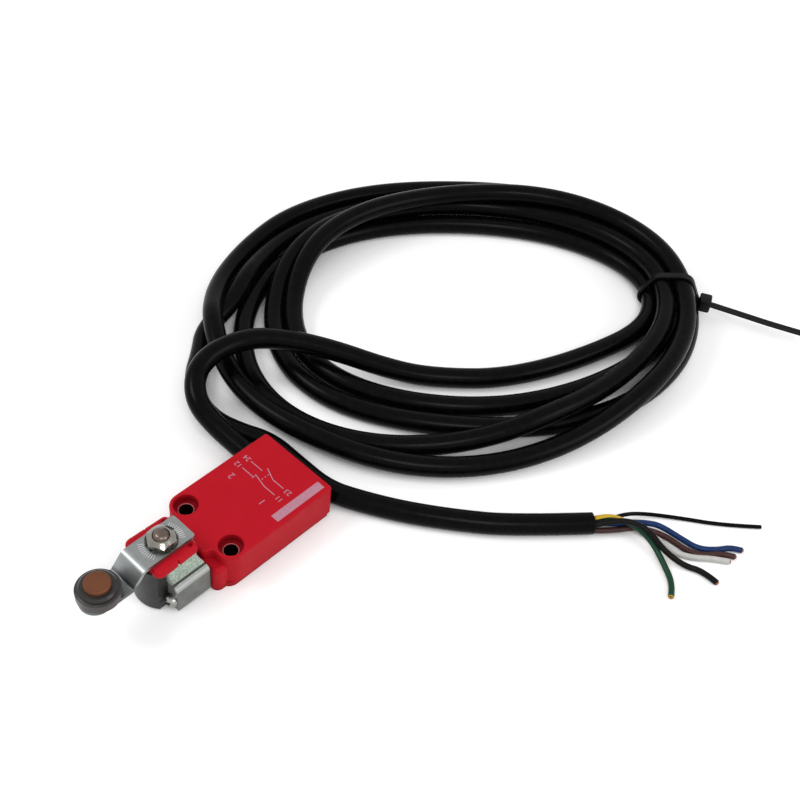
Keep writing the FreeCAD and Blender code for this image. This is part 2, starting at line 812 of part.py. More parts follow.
def turned(label, corners, y):
    """A turned piece: a half section about an upright axis at the given y."""
    body = new_body(label + "_body")
    section = outline(body, label + "_section", "XZ_Plane", corners)
    revolve(body, section)
    bind(body, "Placement.Base.y", y)
    return body


def make_shaft():
    """The lever shaft: foot, spindle for cam and spring, journal, and a threaded stud with a domed end."""
    foot = S.chamber_floor + S.axial_gap - S.tail_length
    spindle_foot = S.chamber_floor + S.axial_gap
    journal_foot = cap_under - S.axial_gap
    body = turned("shaft", [
        (0, foot), (S.tail_radius, foot), (S.tail_radius, spindle_foot), (S.spindle_radius, spindle_foot),
        (S.spindle_radius, journal_foot), (S.journal_radius, journal_foot), (S.journal_radius, lever_bottom),
        (S.stud_radius, lever_bottom), (S.stud_radius, stud_top), (0, stud_top)], S.pivot_offset)
    dress(body, "Fillet", S.dome_radius, circle_at(stud_top, S.stud_radius))
    return keep(body, "shaft")


def make_cam():
    """The cam pressed on the spindle: round, with one flat that faces the plunger at rest."""
    low = S.plunger_level - S.cam_height / 2
    disc = cylinder("cam_disc", S.cam_radius, S.cam_height, 0, S.pivot_offset, low)
    bore = cylinder("cam_bore", S.spindle_radius, S.cam_height, 0, S.pivot_offset, low)
    flat = box("cam_flat", (-S.cam_radius, S.cam_radius),
               (S.pivot_offset - 2 * S.cam_radius, S.pivot_offset - S.cam_flat), (low, low + S.cam_height))
    return keep(cut("cam_piece", disc, bore, flat), "cam")


def make_return_spring():
    low = S.plunger_level + S.cam_height / 2 + S.axial_gap
    free = cap_under - S.axial_gap - low
    origin = Vector(0, S.pivot_offset.value, low.value)
    return coil_spring("return_spring", S.return_spring_radius, S.return_spring_wire, S.return_spring_turns,
                       free, origin, UPRIGHT)


def make_lever_arm():
    """The stepped lever strip, bent down towards the roller, with a rounded end."""
    body = new_body("lever_arm_body")
    rear = S.pivot_offset - S.lever_rear
    bend = S.pivot_offset + S.lever_bend
    run = S.lever_drop / tangent(S.lever_slope)
    shift = S.lever_thickness * tangent(S.lever_slope / 2)
    end = roller_y + S.lever_end
    foot_top = lever_top - S.lever_drop
    foot_bottom = lever_bottom - S.lever_drop
    profile = outline(body, "strip", "YZ_Plane", [
        (rear, lever_top), (bend, lever_top), (bend + run, foot_top), (end, foot_top), (end, foot_bottom),
        (bend + run - shift, foot_bottom), (bend - shift, lever_bottom), (rear, lever_bottom)])
    pad(body, profile, S.lever_width, both_ways=True)
    half = S.lever_width / 2
    dress(body, "Fillet", half - S.edge_radius / 10, upright_at((half, end)))
    dress(body, "Fillet", S.lever_corner, upright_at((half, rear)))
    inner = [(bend - shift, lever_bottom), (bend + run, foot_top)]
    outer = [(bend, lever_top), (bend + run - shift, foot_bottom)]
    for radius, places in ((S.bend_radius, inner), (S.bend_radius + S.lever_thickness, outer)):
        dress(body, "Fillet", radius, lambda edge, places=places: len(edge.Vertexes) == 2 and any(
            all(near(vertex.Point.y, y) and near(vertex.Point.z, z) for vertex in edge.Vertexes)
            for y, z in places))
    holes = circles(body, "lever_holes", "XY_Plane", [
        (0, S.pivot_offset, S.stud_radius + S.running_gap),
        (0, roller_y, S.pin_radius + S.seal_ring_play)], lever_top)
    pocket(body, holes, S.lever_drop + S.lever_thickness)
    return keep(body, "lever_arm")


def make_lock_washer():
    """An externally toothed lock washer."""
    body = new_body("lock_washer_body")
    ring = circles(body, "washer_ring", "XY_Plane",
                   [(0, 0, S.washer_radius), (0, 0, S.stud_radius + S.running_gap)], lever_top)
    pad(body, ring, S.washer_thickness)
    reach = S.washer_radius + S.tooth_depth
    gap = rectangle(body, "tooth_gap", "XY_Plane", (S.washer_radius - S.tooth_depth, reach),
                    (-S.tooth_gap / 2, S.tooth_gap / 2), lever_top)
    notch = pocket(body, gap, S.washer_thickness, forwards=True)
    teeth = body.newObject("PartDesign::PolarPattern", "washer_teeth")
    teeth.Originals = [notch]
    teeth.Axis = (ring, ["N_Axis"])
    teeth.Angle = 360
    bind(teeth, "Occurrences", S.washer_teeth)
    body.Tip = teeth
    doc.recompute()
    bind(body, "Placement.Base.y", S.pivot_offset)
    return keep(body, "lock_washer")


def make_lever_nut():
    """A hexagon nut with a turned chamfer."""
    body = new_body("lever_nut_body")
    apothem = S.nut_flats / 2
    slant = tangent(Size("30", 30.0))
    corner = apothem * 2 * slant
    hexagon = outline(body, "hexagon", "XY_Plane", [
        (apothem, -apothem * slant), (apothem, apothem * slant), (0, corner), (-apothem, apothem * slant),
        (-apothem, -apothem * slant), (0, -corner)], nut_low)
    pad(body, hexagon, S.nut_height)
    chamfer = outline(body, "nut_rim", "XZ_Plane", [
        (corner + S.nut_chamfer, nut_high - 2 * S.nut_chamfer), (corner + S.nut_chamfer, nut_high),
        (apothem - S.nut_chamfer, nut_high)])
    revolve(body, chamfer, "PartDesign::Groove")
    bore = circles(body, "nut_bore", "XY_Plane", [(0, 0, S.stud_radius + S.running_gap)], nut_low)
    pocket(body, bore, S.nut_height, forwards=True)
    bind(body, "Placement.Base.y", S.pivot_offset)
    return keep(body, "lever_nut")


spacer_top = lever_top - S.lever_drop + S.spacer_thickness
roller_low = spacer_top + S.roller_float
roller_high = roller_low + S.roller_height


def make_roller():
    """The moulded roller: running band, fine groove and a slightly smaller crown."""
    bore = S.pin_radius + S.running_gap
    band_high = roller_low + S.roller_band
    crown = S.roller_radius - S.roller_step
    groove = crown - S.roller_groove
    body = turned("roller", [
        (bore, roller_low), (S.roller_radius - S.roller_edge, roller_low),
        (S.roller_radius, roller_low + S.roller_edge), (S.roller_radius, band_high - S.roller_groove),
        (groove, band_high), (crown, band_high + S.roller_groove), (crown, roller_high - S.roller_edge),
        (crown - S.roller_edge, roller_high), (bore, roller_high)], roller_y)
    return keep(body, "roller")


def make_roller_pin():
    """The rivet that carries the roller, with a flat head above and a set end below the lever."""
    low = lever_bottom - S.lever_drop - S.pin_tail_height
    seat = roller_high + S.running_gap
    top = seat + S.pin_head_height
    bevel = S.pin_head_height / 4
    body = turned("roller_pin", [
        (0, low), (S.pin_tail_radius, low), (S.pin_tail_radius, low + S.pin_tail_height),
        (S.pin_radius, low + S.pin_tail_height), (S.pin_radius, seat), (S.pin_head_radius, seat),
        (S.pin_head_radius, top - bevel), (S.pin_head_radius - bevel, top), (0, top)], roller_y)
    return keep(body, "roller_pin")


def make_roller_spacer():
    low = lever_top - S.lever_drop
    disc = cylinder("spacer_disc", S.spacer_radius, S.spacer_thickness, 0, roller_y, low)
    bore = cylinder("spacer_bore", S.pin_radius + S.seal_ring_play, S.spacer_thickness, 0, roller_y, low)
    return keep(cut("spacer", disc, bore), "roller_spacer")


# The lead: routes are lists of points, joined by straight runs and arcs as large as the runs allow
ARC_SHARE = 0.45
OUTLET = Vector(case_half.value, outlet_y.value, S.outlet_level.value)
FLOOR = cable_radius.value
COIL_CENTRE = Vector(18.0, -131.4, 0)
HOLE_CENTRE = Vector(19.2, -140.9, 0)
LEAD_ROUTE = [
    OUTLET - Vector(S.cable_inside.value, 0, 0), OUTLET + Vector(4.2, 0.3, 0.5),
    OUTLET + Vector(16.3, 0.9, 2.2), Vector(41.7, -30.6, 10.4), Vector(50.1, -37.2, 11.2),
    Vector(53.8, -47.2, 11.9), Vector(51.5, -57.6, 12.4),
]
TAIL_ROUTE = [
    Vector(75.5, -70.0, FLOOR), Vector(70.0, -58.0, FLOOR), Vector(63.5, -47.0, FLOOR),
    Vector(53.5, -38.8, FLOOR), Vector(42.0, -36.0, FLOOR), Vector(31.0, -36.4, FLOOR),
    Vector(19.5, -40.0, FLOOR), Vector(7.0, -41.6, FLOOR), Vector(-7.0, -42.0, FLOOR),
    Vector(-19.0, -44.6, FLOOR), Vector(-31.5, -51.6, FLOOR), Vector(-44.5, -61.0, FLOOR),
    Vector(-58.0, -72.4, FLOOR), Vector(-74.4, -91.4, FLOOR),
]
JACKET_END = TAIL_ROUTE[-1]


def route_wire(points):
    """Straight runs joined by tangent arcs, with the radii of the arcs."""
    edges = []
    radii = []
    start = points[0]
    for before, corner, after in zip(points, points[1:], points[2:]):
        back = (before - corner).normalize()
        ahead = (after - corner).normalize()
        turn = math.pi - back.getAngle(ahead)
        trim = ARC_SHARE * min(before.distanceToPoint(corner), after.distanceToPoint(corner))
        radius = trim / math.tan(turn / 2)
        bisector = (back + ahead).normalize()
        first = corner + back * trim
        last = corner + ahead * trim
        middle = corner + bisector * (math.hypot(radius, trim) - radius)
        edges.append(Part.LineSegment(start, first).toShape())
        edges.append(Part.Arc(first, middle, last).toShape())
        start = last
        radii.append(radius)
    edges.append(Part.LineSegment(start, points[-1]).toShape())
    return Part.Wire(edges), radii


def tube(label, points, diameter):
    """A round tube along a route; prints its radii and how its volume compares with section times length."""
    path, radii = route_wire(points)
    section = Part.Wire(Part.makeCircle(diameter / 2, points[0], points[1] - points[0]))
    solid = path.makePipeShell([section], True, False)
    share = solid.Volume / (path.Length * math.pi * diameter ** 2 / 4)
    print(f"{label}: length {path.Length:.1f}, volume share {share:.3f}")
    print("  radii", [round(radius, 1) for radius in radii])
    item = doc.addObject("Part::Feature", label + "_tube")
    item.Shape = solid
    return keep(item, label)


# Twisted conductors spread from the jacket's end
WIRE_ROUTES = {
    "wire_blue": [(1.5, -0.6, -0.9), (-6.0, -9.4, -0.4), (-15.2, -17.4, -1.6), (-24.6, -17.8, -2.4),
                  (-31.0, -20.2, -2.5), (-38.2, -28.0, -2.5)],
    "wire_brown": [(-1.5, 0.6, -0.9), (-9.0, -9.0, -1.9), (-17.6, -13.6, -2.4), (-26.4, -16.6, -2.5),
                   (-32.6, -19.2, -2.5), (-37.9, -24.1, -2.5)],
    "wire_white": [(0.0, 0.0, -1.9), (-7.6, -9.2, -0.2), (-16.8, -11.8, -1.2), (-25.4, -13.0, -2.4),
                   (-31.8, -15.4, -2.5), (-37.9, -21.0, -2.5)],
    "wire_black": [(-1.5, 0.6, 1.0), (-7.6, -7.4, 0.6), (-16.8, -9.8, -1.0), (-25.7, -9.3, -2.3),
                   (-33.2, -10.8, -2.5), (-39.6, -11.0, -2.5)],
    "wire_earth": [(0.0, 0.0, 1.9), (-5.6, -7.0, 2.0), (-12.6, -9.0, 1.2), (-20.2, -7.4, -1.0),
                   (-26.6, -3.4, -2.4), (-32.8, 2.5, -2.5)],
    "filler_cord": [(1.5, -0.6, 1.4), (-3.0, -8.6, 1.4), (-7.4, -15.6, -0.4), (-15.2, -22.2, -2.4),
                    (-26.1, -30.2, -2.8), (-37.4, -40.1, -2.8)],
}


def make_wires():
    cores = []
    for label, offsets in WIRE_ROUTES.items():
        points = [JACKET_END + Vector(*offset) for offset in offsets]
        if label == "filler_cord":
            tube(label, points, S.filler_diameter.value)
        else:
            tube(label, points, S.wire_diameter.value)
            ahead = (points[-1] - points[-2]).normalize()
            radius = S.core_diameter.value / 2
            cores.append(Part.makeCylinder(radius, S.core_length.value, points[-1], ahead))
    strands = doc.addObject("Part::Feature", "wire_cores_group")
    strands.Shape = Part.makeCompound(cores)
    return keep(strands, "wire_cores")


def oriented_box(middle, outward, spans):
    """A box from spans outward, along the turns and upward, measured from a point on the floor."""
    (near_end, far_end), (left, right), (low, high) = spans
    solid = Part.makeBox(far_end - near_end, right - left, high - low, Vector(near_end, left, low))
    solid.Placement = FreeCAD.Placement(middle, Rotation(Vector(1, 0, 0), outward))
    return solid


TIE_INSIDE = Vector(-17.0, -189.3, 0)
TIE_OUTSIDE = Vector(-38.2, -200.8, 0)
TIE_TAIL = [Vector(-54.6, -205.6, 0), Vector(-65.4, -209.6, 0), Vector(-76.5, -214.6, 0)]


def ring_body(centre, length, breadth, turn):
    curve = Part.Ellipse(Vector(), length.value / 2, breadth.value / 2)
    solid = Part.Face(Part.Wire(curve.toShape())).extrude(Vector(0, 0, S.coil_height.value))
    solid.Placement = FreeCAD.Placement(centre, Rotation(Vector(0, 0, 1), turn.value))
    return solid


def make_coil_and_tie():
    """The coiled turns as one ring, drawn in at its end by a tie with a square head and a free tail."""
    ring = ring_body(COIL_CENTRE, S.coil_length, S.coil_breadth, S.coil_turn).cut(
        ring_body(HOLE_CENTRE, S.coil_hole_length, S.coil_hole_breadth, S.coil_hole_turn))
    rims = [edge for edge in ring.Edges if level_at(S.coil_height)(edge)]
    ring = ring.makeFillet(S.coil_round.value, rims)
    outward = (TIE_OUTSIDE - TIE_INSIDE).normalize()
    reach = TIE_INSIDE.distanceToPoint(TIE_OUTSIDE)
    thick = S.tie_thickness.value
    side = S.tie_width.value / 2
    high = S.tie_height.value
    band = oriented_box(TIE_INSIDE, outward, ((-thick, reach + thick), (-side, side), (0, high))).cut(
        oriented_box(TIE_INSIDE, outward, ((0, reach), (-side, side), (thick, high - thick))))
    head_side = S.tie_head_width.value / 2
    head_low = (high - S.tie_head_height.value) / 2
    head_end = reach + thick + S.tie_head_length.value
    head = oriented_box(TIE_INSIDE, outward, (
        (reach + thick, head_end), (-head_side, head_side), (head_low, head_low + S.tie_head_height.value)))
    level = Vector(0, 0, S.tie_tail_level.value)
    start = TIE_INSIDE + outward * (head_end - S.tie_head_length.value / 2)
    path = route_wire([point + level for point in [start] + TIE_TAIL])[0]
    strap = Part.Face(path.makeOffset2D(thick / 2, 0, False, False, False)).extrude(Vector(0, 0, 2 * side))
    tie = doc.addObject("Part::Feature", "tie_moulding")
    tie.Shape = band.fuse([head, strap]).removeSplitter()
    keep(tie, "cable_tie")
    coil = doc.addObject("Part::Feature", "coil_ring")
    coil.Shape = ring.cut([band, head])
    return keep(coil, "cable_coil")


make_case()
make_back_cover()
make_contact_block()
make_contacts("nc_contacts", slot_front, contact_high - S.tail_height)
make_contacts("no_contacts", slot_rear + S.contact_thickness, contact_low)
make_contact_slide()
make_contact_bridge()
make_contact_spring()
make_plunger()
make_plunger_seal()
make_potting()
make_grommet()
make_head_gasket()
make_head_housing()
make_head_screws()
make_head_cap()
make_shaft_seal()
make_shaft()
make_cam()
make_return_spring()
make_lever_arm()
make_lock_washer()
make_lever_nut()
make_roller()
make_roller_pin()
make_roller_spacer()
tube("cable_lead", LEAD_ROUTE, S.cable_diameter.value)
tube("cable_tail", TAIL_ROUTE, S.cable_diameter.value)
make_wires()
make_coil_and_tie()
doc.recompute()

faults = [item.Name for item in doc.Objects if "Invalid" in item.State or "Error" in item.State]
faults += [item.Label for item in nodes if item.Shape.isNull() or not item.Shape.isValid()]
if faults:
    raise RuntimeError("failed objects: " + ", ".join(faults))
os.makedirs("parts", exist_ok=True)
for item in nodes:
    item.Shape.exportStep(f"parts/{item.Label}.step")
    print(f"{item.Label}: {len(item.Shape.Solids)} solid, volume {item.Shape.Volume:.1f}")
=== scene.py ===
import json
import math

import bmesh
import bpy
from mathutils import Matrix, Vector


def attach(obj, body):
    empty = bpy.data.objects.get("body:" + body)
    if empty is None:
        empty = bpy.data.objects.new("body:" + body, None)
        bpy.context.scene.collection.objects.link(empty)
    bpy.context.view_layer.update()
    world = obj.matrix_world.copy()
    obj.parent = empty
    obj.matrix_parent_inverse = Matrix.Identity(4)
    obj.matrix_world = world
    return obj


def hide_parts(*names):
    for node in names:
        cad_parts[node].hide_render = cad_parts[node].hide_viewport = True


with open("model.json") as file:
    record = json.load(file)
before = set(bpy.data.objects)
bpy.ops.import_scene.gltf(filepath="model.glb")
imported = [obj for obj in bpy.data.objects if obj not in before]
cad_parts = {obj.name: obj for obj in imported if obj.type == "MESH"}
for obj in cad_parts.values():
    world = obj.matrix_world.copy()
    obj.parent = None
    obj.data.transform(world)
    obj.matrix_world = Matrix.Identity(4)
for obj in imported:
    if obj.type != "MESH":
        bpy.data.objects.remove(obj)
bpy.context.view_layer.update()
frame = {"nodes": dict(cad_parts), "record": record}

SCENE = bpy.context.scene
MM = 0.001
UPRIGHT = Vector((0.0, 0.0, 1.0))
WHITE = (1.0, 1.0, 1.0, 1.0)

# Lengths and places are in millimetres, save where a comment says metres.
CAMERA_PLACE = Vector((-172.57, 136.01, 306.15))
CAMERA_AIM = Vector((3.85, -87.2, 0.0))
CAMERA_ROLL = math.radians(7.01)
CAMERA_LENS = 55.66
CAMERA_SENSOR = 36.0
CAMERA_NEAR = 10.0

SPLINE_STEPS = 8
CABLE_RINGS = 6
WIRE_RINGS = 4

CABLE_RADIUS = 3.5
# In metres, as the frame is.
LEAD_ROUTE = [
    (14.3, -29.9, 7.0),
    (19.0, -29.6, 7.5),
    (31.1, -29.0, 9.2),
    (40.1, -29.3, 12.5),
    (47.2, -34.8, 15.4),
    (49.3, -43.5, 17.7),
    (47.4, -54.2, 17.8),
    (43.2, -61.7, 17.4),
    (35.3, -70.9, 15.0),
    (25.8, -79.7, 11.5),
    (15.2, -88.4, 7.0),
    (4.5, -97.6, 3.9),
]
JACKET_END = (-74.4, -91.4, CABLE_RADIUS)
TAIL_ROUTE = [
    (70.0, -58.0, CABLE_RADIUS),
    (62.0, -49.6, CABLE_RADIUS),
    (56.3, -42.0, CABLE_RADIUS),
    (47.0, -34.8, CABLE_RADIUS),
    (36.5, -33.0, CABLE_RADIUS),
    (27.0, -35.6, CABLE_RADIUS),
    (17.2, -40.2, CABLE_RADIUS),
    (4.0, -39.9, CABLE_RADIUS),
    (-9.0, -39.9, CABLE_RADIUS),
    (-19.5, -44.7, CABLE_RADIUS),
    (-31.5, -51.6, CABLE_RADIUS),
    (-44.5, -61.0, CABLE_RADIUS),
    (-58.0, -72.4, CABLE_RADIUS),
    JACKET_END,
]

COIL_TURNS = 5
COIL_STEPS = 36
COIL_EIGHTHS = 8
# The tail leaves the coil a quarter turn before the last turn would close.
COIL_LAST = COIL_TURNS * COIL_STEPS - COIL_STEPS // 4
# The inner and the outer edge of the coil are ellipses in plan, given by their middles and their half axes.
COIL_CENTRE = (Vector((19.74, -140.85)), Vector((17.57, -130.76)))
COIL_RIGHT = (Vector((-42.16, -47.56)), Vector((-57.09, -64.11)))
COIL_AWAY = (Vector((28.22, -30.01)), Vector((48.60, -51.64)))
# Where each turn lies between the coil's inner and outer edge, at every eighth of a turn from the front.
COIL_LANES = [
    0.00, -0.04, 0.23, 0.02, 0.00, 0.25, 0.57, 0.91,
    0.80, 0.54, 0.42, 0.22, 0.30, 0.28, 0.24, 0.51,
    0.57, 0.80, 1.02, 1.25, 0.97, 1.00, 1.00, 1.06,
    1.04, 0.90, 0.81, 0.54, 0.24, 0.05, 0.00, 0.28,
    0.34, 0.38, 0.62, 0.62, 0.62, 0.73, 0.78, 2.20, 3.2,
]
# The turns in the order in which they lie on each other, and the rounds in which their heights settle.
COIL_STACK = (0, 4, 2, 1, 3)
COIL_SETTLING = 8

WIRE_RADIUS = 0.95
FILLER_RADIUS = 0.65
# Places from the middle of the jacket's end.
WIRE_ROUTES = {
    "wire_blue": [
        (-0.1, -1.2, -0.3), (-4.4, -4.4, -0.1), (-8.3, -9.9, -0.3), (-11.9, -13.7, -0.7),
        (-14.9, -16.2, -1.3), (-21.9, -17.5, -2.1), (-28.2, -18.5, -2.5), (-32.8, -22.8, -2.5),
        (-35.1, -26.7, -2.5), (-38.2, -28.3, -2.5),
    ],
    "wire_brown": [
        (-1.9, 0.9, -1.1), (-5.9, -3.1, -0.9), (-10.0, -10.3, -1.4), (-15.5, -14.0, -2.4),
        (-19.5, -15.1, -2.5), (-25.8, -15.2, -2.5), (-30.5, -17.3, -2.5), (-34.4, -22.6, -2.5),
        (-38.0, -24.5, -2.5),
    ],
    "wire_white": [
        (-0.7, -0.7, -2.4), (-4.4, -5.0, -2.5), (-8.2, -9.0, -2.5), (-12.4, -11.2, -2.5),
        (-17.0, -12.3, -2.5), (-23.2, -11.6, -2.5), (-28.8, -14.2, -2.5), (-33.3, -18.7, -2.5),
        (-37.7, -21.6, -2.5),
    ],
    "wire_black": [
        (-1.3, 0.8, 1.1), (-4.1, -2.9, 2.5), (-9.0, -7.7, 2.9), (-14.9, -9.5, 1.9),
        (-21.3, -8.3, -0.3), (-28.9, -9.5, -2.1), (-34.0, -12.6, -2.5), (-39.5, -12.1, -2.5),
    ],
    "wire_earth": [
        (0.0, -0.6, 1.7), (-2.1, -4.3, 1.9), (-6.2, -7.0, 1.4), (-11.7, -9.3, 0.1),
        (-17.5, -8.6, -0.9), (-24.2, -5.4, -2.0), (-30.3, -1.7, -2.5), (-32.6, 2.6, -2.5),
    ],
    "filler_cord": [
        (-0.8, 0.5, 1.9), (-3.2, -2.5, 1.5), (-3.9, -9.5, -0.5), (-7.4, -16.2, -2.1),
        (-17.2, -24.6, -2.8), (-28.2, -32.3, -2.8), (-37.3, -41.0, -2.8),
    ],
}
CORE_LENGTH = 0.9
STRAND_SIDES = 10
SPLAY_SEED = 5
# The stripe's places are shares of a turn around the wire.
STRIPE_SIDES = 16
STRIPE_START = 0.165
STRIPE_WINDING = 0.5
STRIPE_EDGE = (0.325, 0.335)

TIE_INSIDE = Vector((-17.4, -187.2, 0.0))
TIE_OUTSIDE = Vector((-38.6, -198.7, 0.0))
TIE_ANGLE = math.radians(93.0)
TIE_WIDTH = 2.6
TIE_THICKNESS = 1.1
TIE_BEVEL = 0.3
TIE_HEAD = (4.4, 5.0, 5.4)
TIE_HEAD_BEVEL = 0.7
TIE_HEIGHT = 7.0
TIE_LIFT_SPREAD = math.radians(24.0)
TIE_TAIL = [(-54.6, -205.6, 7.0), (-65.4, -209.6, 7.0), (-76.5, -214.6, 7.0)]
TIE_DIRECTIONS = 72
# How far inwards and outwards of its inner side the tie looks for strands.
TIE_SEARCH = (-20.0, 45.0)
TEETH_START = 1.0

HOLE_HALF = 10.0
SEAT_FLOOR = 10.7
RIM_RADIUS = 2.35
RIM_THICKNESS = 0.36
CASE_TOP = 13.5
PIVOT = Vector((0.0, 16.6, 20.9))
ROLLER_AXIS = Vector((0.0, 38.5, 21.3))
SCREW_SEATS = [(-8.2, 20.4, 4.7), (8.2, 20.4, 4.7)]
SCREW_FACING = Vector((0.0, 1.0, 0.0))
SCREW_SIDES = 40
SHANK_SIDES = 32
SLOT_TURN = 0.5
DOME_RISE = 0.35
DOME_SCALE = (1.12, 1.12, 0.74)
SHARP_ANGLE = math.radians(32.0)

# Zones where one tone of a finish passes into another. On the case, from a hole's axis and by height.
BORE_EDGE = (2.16, 2.4)
SEAT_EDGE = (3.80, 3.95)
SEAT_DEPTH = (11.2, 13.4)
SEAT_SHADE = 0.62
# On the lever, by height and from back to front: where the painted lighter step, the painted darker end and
# the painted highlight at the bend begin and end.
LEVER_STEP_FOOT = (16.4, 17.4)
LEVER_STEP_HEAD = (18.6, 20.6)
LEVER_BEND_START = (25.2, 26.0)
LEVER_BEND_END = (26.3, 28.0)
# On the head, to either side, by height and from back to front: where the painted shade on the drum, the
# painted lighter top and the painted highlight on the boss's rounded edge begin and end.
DRUM_SIDE = (6.25, 6.5)
HEAD_TOP = (11.1, 11.3)
HEAD_FRONT = (19.0, 20.6)
BOSS_SIDE = (9.25, 9.5)
BOSS_ROUND = (9.5, 10.3)
# On the roller, by height, with the spacing of its turned rings.
ROLLER_CROWN = (19.6, 20.2)
ROLLER_RINGS = 0.55
# Most values of a noise texture lie between these.
NOISE_LOW = 0.3
NOISE_HIGH = 0.7

PRINT_HEIGHT = 0.04
DIGIT_SCALE = 1.38
FINE_LINE = 0.2
BACK_LINE = 0.24
SYMBOL_LINE = 0.28
BAR_WIDTH = 2.9
PRINT_LINES = [
    ((-5.2, -21.4), (-0.6, -21.4), SYMBOL_LINE),
    ((-0.6, -21.4), (4.6, -22.6), SYMBOL_LINE),
    ((4.2, -20.9), (4.2, -22.7), BACK_LINE),
    ((4.2, -21.4), (9.2, -21.4), SYMBOL_LINE),
    ((-5.2, -25.0), (-0.6, -25.0), SYMBOL_LINE),
    ((-0.6, -25.0), (3.8, -26.8), SYMBOL_LINE),
    ((4.2, -25.0), (9.2, -25.0), SYMBOL_LINE),
    ((1.8, -22.6), (1.8, -23.2), FINE_LINE),
    ((1.8, -23.8), (1.8, -24.4), FINE_LINE),
    ((1.8, -25.0), (1.8, -25.6), FINE_LINE),
    ((-11.7, -34.4), (-11.7, -15.4), BAR_WIDTH),
]
CONTACT_DIGITS = 1.8
GROUP_DIGITS = 2.3
PRINT_NUMBERS = [
    ("11", (-7.2, -21.4), CONTACT_DIGITS),
    ("12", (11.0, -21.4), CONTACT_DIGITS),
    ("23", (-7.2, -25.0), CONTACT_DIGITS),
    ("24", (11.0, -25.0), CONTACT_DIGITS),
    ("1", (-4.6, -17.0), GROUP_DIGITS),
    ("2", (9.0, -17.0), GROUP_DIGITS),
]

AMBIENT_LEVEL = 0.5
BACKDROP_LEVEL = 1.0
# Name, place and diameter in metres, and power in watts.
SOFT_LAMPS = [
    ("left_lamp", (0.46, 0.40, 0.76), 0.36, 2.8),
    ("right_lamp", (-0.78, -0.32, 0.48), 0.50, 2.2),
    ("camera_lamp", (-0.50, 0.30, 0.80), 0.30, 2.2),
]
FLOOR_HALF = 2000.0
FLOOR_LEVEL = -0.05
PAPER_COLOUR = (0.80, 0.80, 0.80, 1.0)
PAPER_GLOW = 0.36
GAP_REACH = 16.0
GAP_SAMPLES = 4
# The share of open sky over a gap, between a narrow one that stays dark and a wide one that glows.
GAP_EDGE = (0.22, 0.52)
FAR_GLOW = 0.40
# In metres from the middle of the frame.
FAR_EDGE = (0.30, 0.60)


class Finish:
    """One procedural material: a Principled shader and the textures on Object coordinates that feed it."""

    def __init__(self, name, **sockets):
        self.material = bpy.data.materials.new(name)
        self.material.use_nodes = True
        self.tree = self.material.node_tree
        self.shader = self.tree.nodes["Principled BSDF"]
        for socket, value in sockets.items():
            self.shader.inputs[socket.replace("_", " ")].default_value = value
        self.place = self.node("ShaderNodeTexCoord").outputs["Object"]

    def node(self, kind, **settings):
        made = self.tree.nodes.new(kind)
        for key, value in settings.items():
            setattr(made, key, value)
        return made

    def feed(self, target, value):
        if isinstance(value, bpy.types.NodeSocket):
            self.tree.links.new(value, target)
        else:
            target.default_value = value

    def noise(self, size, detail=3.0, stretch=(1.0, 1.0, 1.0)):
        """Noise with features of about this size in millimetres."""
        mapping = self.node("ShaderNodeMapping")
        self.feed(mapping.inputs["Vector"], self.place)
        mapping.inputs["Scale"].default_value = stretch
        texture = self.node("ShaderNodeTexNoise")
        self.feed(texture.inputs["Vector"], mapping.outputs["Vector"])
        texture.inputs["Scale"].default_value = 1.0 / (size * MM)
        texture.inputs["Detail"].default_value = detail
        return texture.outputs["Fac"]

    def ramp(self, factor, *stops):
        made = self.node("ShaderNodeValToRGB")
        self.feed(made.inputs["Fac"], factor)
        elements = made.color_ramp.elements
        while len(elements) < len(stops):
            elements.new(0.5)
        for element, (position, colour) in zip(elements, stops):
            element.position = position
            element.color = (*colour, 1.0)
        return made.outputs["Color"]

    def tint(self, noise, dark, light):
        """A colour that follows a noise from dark to light."""
        return self.ramp(noise, (NOISE_LOW, dark), (NOISE_HIGH, light))

    def spread(self, factor, low, high, start=NOISE_LOW, end=NOISE_HIGH):
        made = self.node("ShaderNodeMapRange")
        self.feed(made.inputs["Value"], factor)
        made.inputs["From Min"].default_value = start
        made.inputs["From Max"].default_value = end
        made.inputs["To Min"].default_value = low
        made.inputs["To Max"].default_value = high
        return made.outputs["Result"]

    def rising(self, axis, zone):
        """From nought to one across a zone in millimetres."""
        return self.spread(axis, 0.0, 1.0, zone[0] * MM, zone[1] * MM)

    def falling(self, axis, zone, top=1.0):
        """From the top to nought across a zone in millimetres."""
        return self.spread(axis, top, 0.0, zone[0] * MM, zone[1] * MM)

    def math(self, operation, first, second=0.0):
        made = self.node("ShaderNodeMath", operation=operation)
        self.feed(made.inputs[0], first)
        self.feed(made.inputs[1], second)
        return made.outputs["Value"]

    def product(self, first, second):
        return self.math("MULTIPLY", first, second)

    def distance(self, first, second):
        """The length of two distances at right angles."""
        squares = self.math("ADD", self.math("POWER", first, 2.0), self.math("POWER", second, 2.0))
        return self.math("SQRT", squares)

    def blended(self, factor, first, second):
        made = self.node("ShaderNodeMix", data_type="RGBA")
        self.feed(made.inputs["Factor"], factor)
        for socket, source in zip((made.inputs[6], made.inputs[7]), (first, second)):
            self.feed(socket, source if isinstance(source, bpy.types.NodeSocket) else (*source, 1.0))
        return made.outputs[2]

    def axes(self):
        made = self.node("ShaderNodeSeparateXYZ")
        self.feed(made.inputs["Vector"], self.place)
        return list(made.outputs)

    def colour(self, source):
        self.feed(self.shader.inputs["Base Color"], source)

    def roughness(self, source):
        self.feed(self.shader.inputs["Roughness"], source)

    def bump(self, height, depth):
        """A relief of this depth in millimetres, on top of any relief made before."""
        made = self.node("ShaderNodeBump")
        made.inputs["Distance"].default_value = depth * MM
        self.feed(made.inputs["Height"], height)
        normal = self.shader.inputs["Normal"]
        if normal.is_linked:
            self.feed(made.inputs["Normal"], normal.links[0].from_socket)
        self.feed(normal, made.outputs["Normal"])


